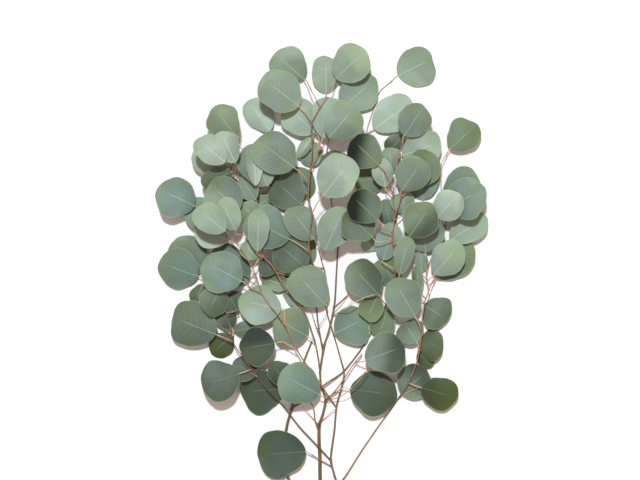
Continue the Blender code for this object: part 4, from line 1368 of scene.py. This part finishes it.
@dataclass
class TubeMaker:
    """Builds a closed tube along a line of points, for twigs, petioles and midribs."""

    sides: int = 8

    def build(self, form: bmesh.types.BMesh, points: Sequence[Vector], radii: Sequence[float],
              marks: Sequence[Dict[str, object]], slot: int) -> None:
        """Adds a closed tube to a form.

        Args:
            form: the spray's bmesh, with its attribute layers.
            points: the tube's middle line.
            radii: the radius at each point.
            marks: the attribute values at each point.
            slot: the material's place on the piece.
        """
        tangents = [(points[min(i + 1, len(points) - 1)] - points[max(i - 1, 0)]).normalized()
                    for i in range(len(points))]
        turned = Vector((0, 0, 1)).rotation_difference(tangents[0])
        frame = Matrix.Translation(points[0]) @ turned.to_matrix().to_4x4() @ Matrix.Scale(radii[0], 4)
        ring = bmesh.ops.create_circle(form, segments=self.sides, radius=1.0, matrix=frame)["verts"]
        edges = list({edge for vertex in ring for edge in vertex.link_edges})
        ends, faces = edges, []
        stamp(form, ring, marks[0])
        for index in range(1, len(points)):
            turned = tangents[index - 1].rotation_difference(tangents[index]) @ turned
            after = (Matrix.Translation(points[index]) @ turned.to_matrix().to_4x4()
                     @ Matrix.Scale(radii[index], 4))
            grown = bmesh.ops.extrude_edge_only(form, edges=edges)["geom"]
            ring = [item for item in grown if isinstance(item, bmesh.types.BMVert)]
            faces += [item for item in grown if isinstance(item, bmesh.types.BMFace)]
            edges = [edge for edge in grown if isinstance(edge, bmesh.types.BMEdge)
                     and all(vertex in ring for vertex in edge.verts)]
            bmesh.ops.transform(form, matrix=after @ frame.inverted(), verts=ring)
            stamp(form, ring, marks[index])
            frame = after
        for border in (ends, edges):
            faces += bmesh.ops.holes_fill(form, edges=border, sides=self.sides)["faces"]
        for face in faces:
            face.material_index = slot


@dataclass
class PetioleMaker:
    """Builds a leaf's petiole, from just inside the blade to the middle of its twig."""

    radius: float = 0.00062
    inside: float = 0.10  # where on the blade it starts
    spacing: float = 0.0016
    neck: float = 0.62  # its width at the blade, as a share
    neck_reach: float = 0.2  # the share of its way over which it widens from there
    flare: float = 0.35  # how much it widens at the twig
    oldest: float = 0.44  # its age at the twig
    swelling: float = 0.7  # how much of the joint's colour it takes at the twig
    tube: TubeMaker = field(default_factory=lambda: TubeMaker(sides=6))

    def build(self, form: bmesh.types.BMesh, blade: Blade, route: Sequence[Vector], slot: int) -> None:
        """Adds one petiole to a form.

        Args:
            form: the spray's bmesh.
            blade: where its leaf lies.
            route: its way from the leaf's base to the twig.
            slot: the material's place on the piece.
        """
        line = rounded(np.array([blade.place(self.inside, 0.0), *route]), self.spacing)
        line[:, 2] = np.maximum(line[:, 2], self.radius)
        shares = np.linspace(0.0, 1.0, len(line))
        necks = [self.neck + (1 - self.neck) * min(1.0, share / self.neck_reach) for share in shares]
        radii = [self.radius * neck * (1 + self.flare * share**6) for neck, share in zip(necks, shares)]
        marks = [{"age": self.oldest * share, "joint": self.swelling * share**10} for share in shares]
        self.tube.build(form, [Vector(point) for point in line], radii, marks, slot)


@dataclass
class StemMaker:
    """Turns laid twigs into fine stems with a swelling at each node."""

    spacing: float = 0.0022
    swelling: float = 0.30
    swelling_reach: float = 0.0022
    young_radius: float = 0.35 * MILLIMETRE
    young_age: float = 0.36
    ageing: float = 0.45  # for each millimetre of radius more
    tube: TubeMaker = field(default_factory=TubeMaker)

    def build(self, form: bmesh.types.BMesh, twig: Twig, stem: Stem, nodes: Sequence[np.ndarray],
              slot: int) -> None:
        """Adds one stem to a form.

        Args:
            form: the spray's bmesh.
            twig: the twig on the plan.
            stem: the stem as laid.
            nodes: where petioles and twigs leave it.
            slot: the material's place on the piece.
        """
        wood = OWN_WOOD.get(twig.name, Wood())
        line = rounded(stem.points, self.spacing)
        swell = np.zeros(len(line))
        for node in nodes:
            gaps = np.linalg.norm(line - node, axis=1)
            swell = np.maximum(swell, np.exp(-((gaps / self.swelling_reach) ** 2)))
        full = [stem.radius_at(share) for share in np.linspace(0, 1, len(line))]
        radii = [radius * wood.girth * (1 + self.swelling * bump) for radius, bump in zip(full, swell)]
        ages = [min(1.0, self.young_age + self.ageing * (radius - self.young_radius) / MILLIMETRE)
                for radius in full]
        marks = [{"age": age if wood.age is None else wood.age, "joint": float(bump), "painted_shade_and_dark_bark": wood.painted_shade_and_dark_bark}
                 for age, bump in zip(ages, swell)]
        points = [Vector((x, y, max(z, radius))) for (x, y, z), radius in zip(line, radii)]
        self.tube.build(form, points, radii, marks, slot)


@dataclass
class SprayPiece:
    """One leafy spray or the bare wood: the fine piece that stands for a node of the model."""

    spray: Spray
    layout: Layout
    finishes: Dict[str, bpy.types.Material]
    crease: float = 50.0  # edges sharper than this stay sharp, in degrees
    blades: BladeMaker = field(default_factory=BladeMaker)
    ribs: TubeMaker = field(default_factory=lambda: TubeMaker(sides=5))
    petioles: PetioleMaker = field(default_factory=PetioleMaker)
    stems: StemMaker = field(default_factory=StemMaker)

    def build(self) -> bpy.types.Object:
        """Builds, dresses and seats the piece.

        Returns:
            The finished piece.
        """
        slots = [StemFinish.name, *sorted({"leaf_" + leaf.tone.value for leaf in self.spray.leaves})]
        form = bmesh.new()
        for name in NUMBER_LAYERS:
            form.verts.layers.float.new(name)
        form.verts.layers.float_vector.new("blade")
        feet = self.build_leaves(form, slots)
        self.build_stems(form, feet)
        return self.seat(form, slots)

    def build_leaves(self, form: bmesh.types.BMesh, slots: Sequence[str]) -> List[np.ndarray]:
        """Adds every leaf with its midrib and petiole.

        Args:
            form: the spray's bmesh.
            slots: the names of the piece's materials, the bark first.

        Returns:
            Where the petioles stand on their twigs.
        """
        feet = []
        for leaf in self.spray.leaves:
            blade = self.layout.blades[leaf.base, leaf.tip]
            slot = slots.index("leaf_" + leaf.tone.value)
            route = self.layout.petiole_route(leaf, self.spray.twigs)
            self.blades.build(form, leaf, blade, slot)
            self.ribs.build(form, *self.blades.rib_line(leaf, blade), slot)
            self.petioles.build(form, blade, route, 0)
            feet.append(np.array(route[-1]))
        return feet

    def build_stems(self, form: bmesh.types.BMesh, feet: Sequence[np.ndarray]) -> None:
        """Adds every twig, older towards the foot of the branch.

        Args:
            form: the spray's bmesh.
            feet: where petioles stand.
        """
        twigs = self.spray.twigs + self.spray.sprigs
        for twig in twigs:
            forks = [self.layout.stems[other.name].points[0] for other in twigs
                     if other.parent == twig.name]
            self.stems.build(form, twig, self.layout.stems[twig.name], [*feet, *forks], 0)

    def seat(self, form: bmesh.types.BMesh, slots: Sequence[str]) -> bpy.types.Object:
        """Makes the object, puts it in the frame and lets it stand for its node.

        Args:
            form: the spray's bmesh, which is used up.
            slots: the names of the piece's materials.

        Returns:
            The finished piece.
        """
        bmesh.ops.recalc_face_normals(form, faces=form.faces)
        piece = add_mesh(self.spray.name + "_fine", form)
        piece.data.shade_smooth()
        piece.data.set_sharp_from_angle(angle=math.radians(self.crease))
        for name in slots:
            piece.data.materials.append(self.finishes[name])
        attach(piece, "root")
        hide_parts(self.spray.name)
        return piece


@dataclass
class Studio:
    """The pale floor, the soft light and the camera that looks straight down."""

    view_width: float = 640 * PLAN
    view_centre: PlanPoint = (320.0, 240.0)
    distance: float = 4.0
    film_width: float = 36.0
    far_end: float = 100.0
    floor_size: float = 24.0
    sun_energy: float = 3.3
    sun_colour: Colour = (0.88, 0.96, 1.0)
    sun_tilt: float = 24.0
    sun_azimuth: float = 8.0
    sun_size: float = 5.0
    ambient: Colour = (0.58, 0.47, 0.42)

    def build(self) -> None:
        """Builds all of it."""
        self.build_floor()
        self.build_light()
        self.build_camera()

    def build_floor(self) -> None:
        """A large plain sheet."""
        form = bmesh.new()
        bmesh.ops.create_grid(form, x_segments=2, y_segments=2, size=self.floor_size / 2)
        floor = add_mesh("floor", form)
        floor.data.materials.append(FloorFinish().build())

    def build_light(self) -> None:
        """One broad light from over the top of the branch, and a warm dim surround."""
        lamp = bpy.data.lights.new("key", "SUN")
        lamp.energy = self.sun_energy
        lamp.color = self.sun_colour
        lamp.angle = math.radians(self.sun_size)
        key = bpy.data.objects.new("key", lamp)
        bpy.context.scene.collection.objects.link(key)
        tilt, azimuth = math.radians(self.sun_tilt), math.radians(self.sun_azimuth)
        source = Vector((-math.sin(azimuth) * math.sin(tilt),
                         math.cos(azimuth) * math.sin(tilt),
                         math.cos(tilt)))
        key.rotation_mode = "QUATERNION"
        key.rotation_quaternion = source.to_track_quat("Z", "Y")
        world = bpy.data.worlds.new("surround")
        world.use_nodes = True
        graph = Graph(world.node_tree)
        warm = graph.node("ShaderNodeBackground")
        graph.feed(warm.inputs["Color"], (*self.ambient, 1.0))
        plain = graph.node("ShaderNodeBackground")
        graph.feed(plain.inputs["Color"], (1.0, 1.0, 1.0, 1.0))
        mix = graph.node("ShaderNodeMixShader")
        graph.feed(mix.inputs[0], graph.node("ShaderNodeLightPath").outputs["Is Camera Ray"])
        graph.feed(mix.inputs[1], warm.outputs[0])
        graph.feed(mix.inputs[2], plain.outputs[0])
        graph.feed(graph.node("ShaderNodeOutputWorld").inputs["Surface"], mix.outputs[0])
        bpy.context.scene.world = world
        bpy.context.scene.view_settings.view_transform = "Standard"

    def build_camera(self) -> None:
        """A long lens, straight above the middle of the view."""
        lens = bpy.data.cameras.new("camera")
        lens.sensor_width = self.film_width
        lens.lens = lens.sensor_width * self.distance / self.view_width
        lens.clip_end = self.far_end
        camera = bpy.data.objects.new("camera", lens)
        bpy.context.scene.collection.objects.link(camera)
        x, y = on_plan(self.view_centre)
        camera.location = (x, y, self.distance)
        bpy.context.scene.camera = camera


def corners(box: Tuple[Vector, Vector]) -> List[List[float]]:
    """A box's two corners as plain numbers."""
    return [[float(value) for value in corner] for corner in box]


def main() -> None:
    """Builds the floor, the light, the camera and every piece of the branch."""
    logging.basicConfig(level=logging.INFO, format="%(name)s: %(message)s")
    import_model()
    Studio().build()
    LOG.info("floor, light and camera stand")
    effects = Effects()
    materials = [finish.build(effects) for finish in (*LEAF_FINISHES, StemFinish())]
    finishes = {material.name: material for material in materials}
    layout = Layout(SPRAYS)
    for spray in SPRAYS:
        piece = SprayPiece(spray, layout, finishes).build()
        LOG.info("%s: %d leaves, %d twigs, %d faces", piece.name, len(spray.leaves),
                 len(spray.twigs + spray.sprigs), len(piece.data.polygons))
    bpy.context.view_layer.update()


if __name__ == "__main__":
    main()
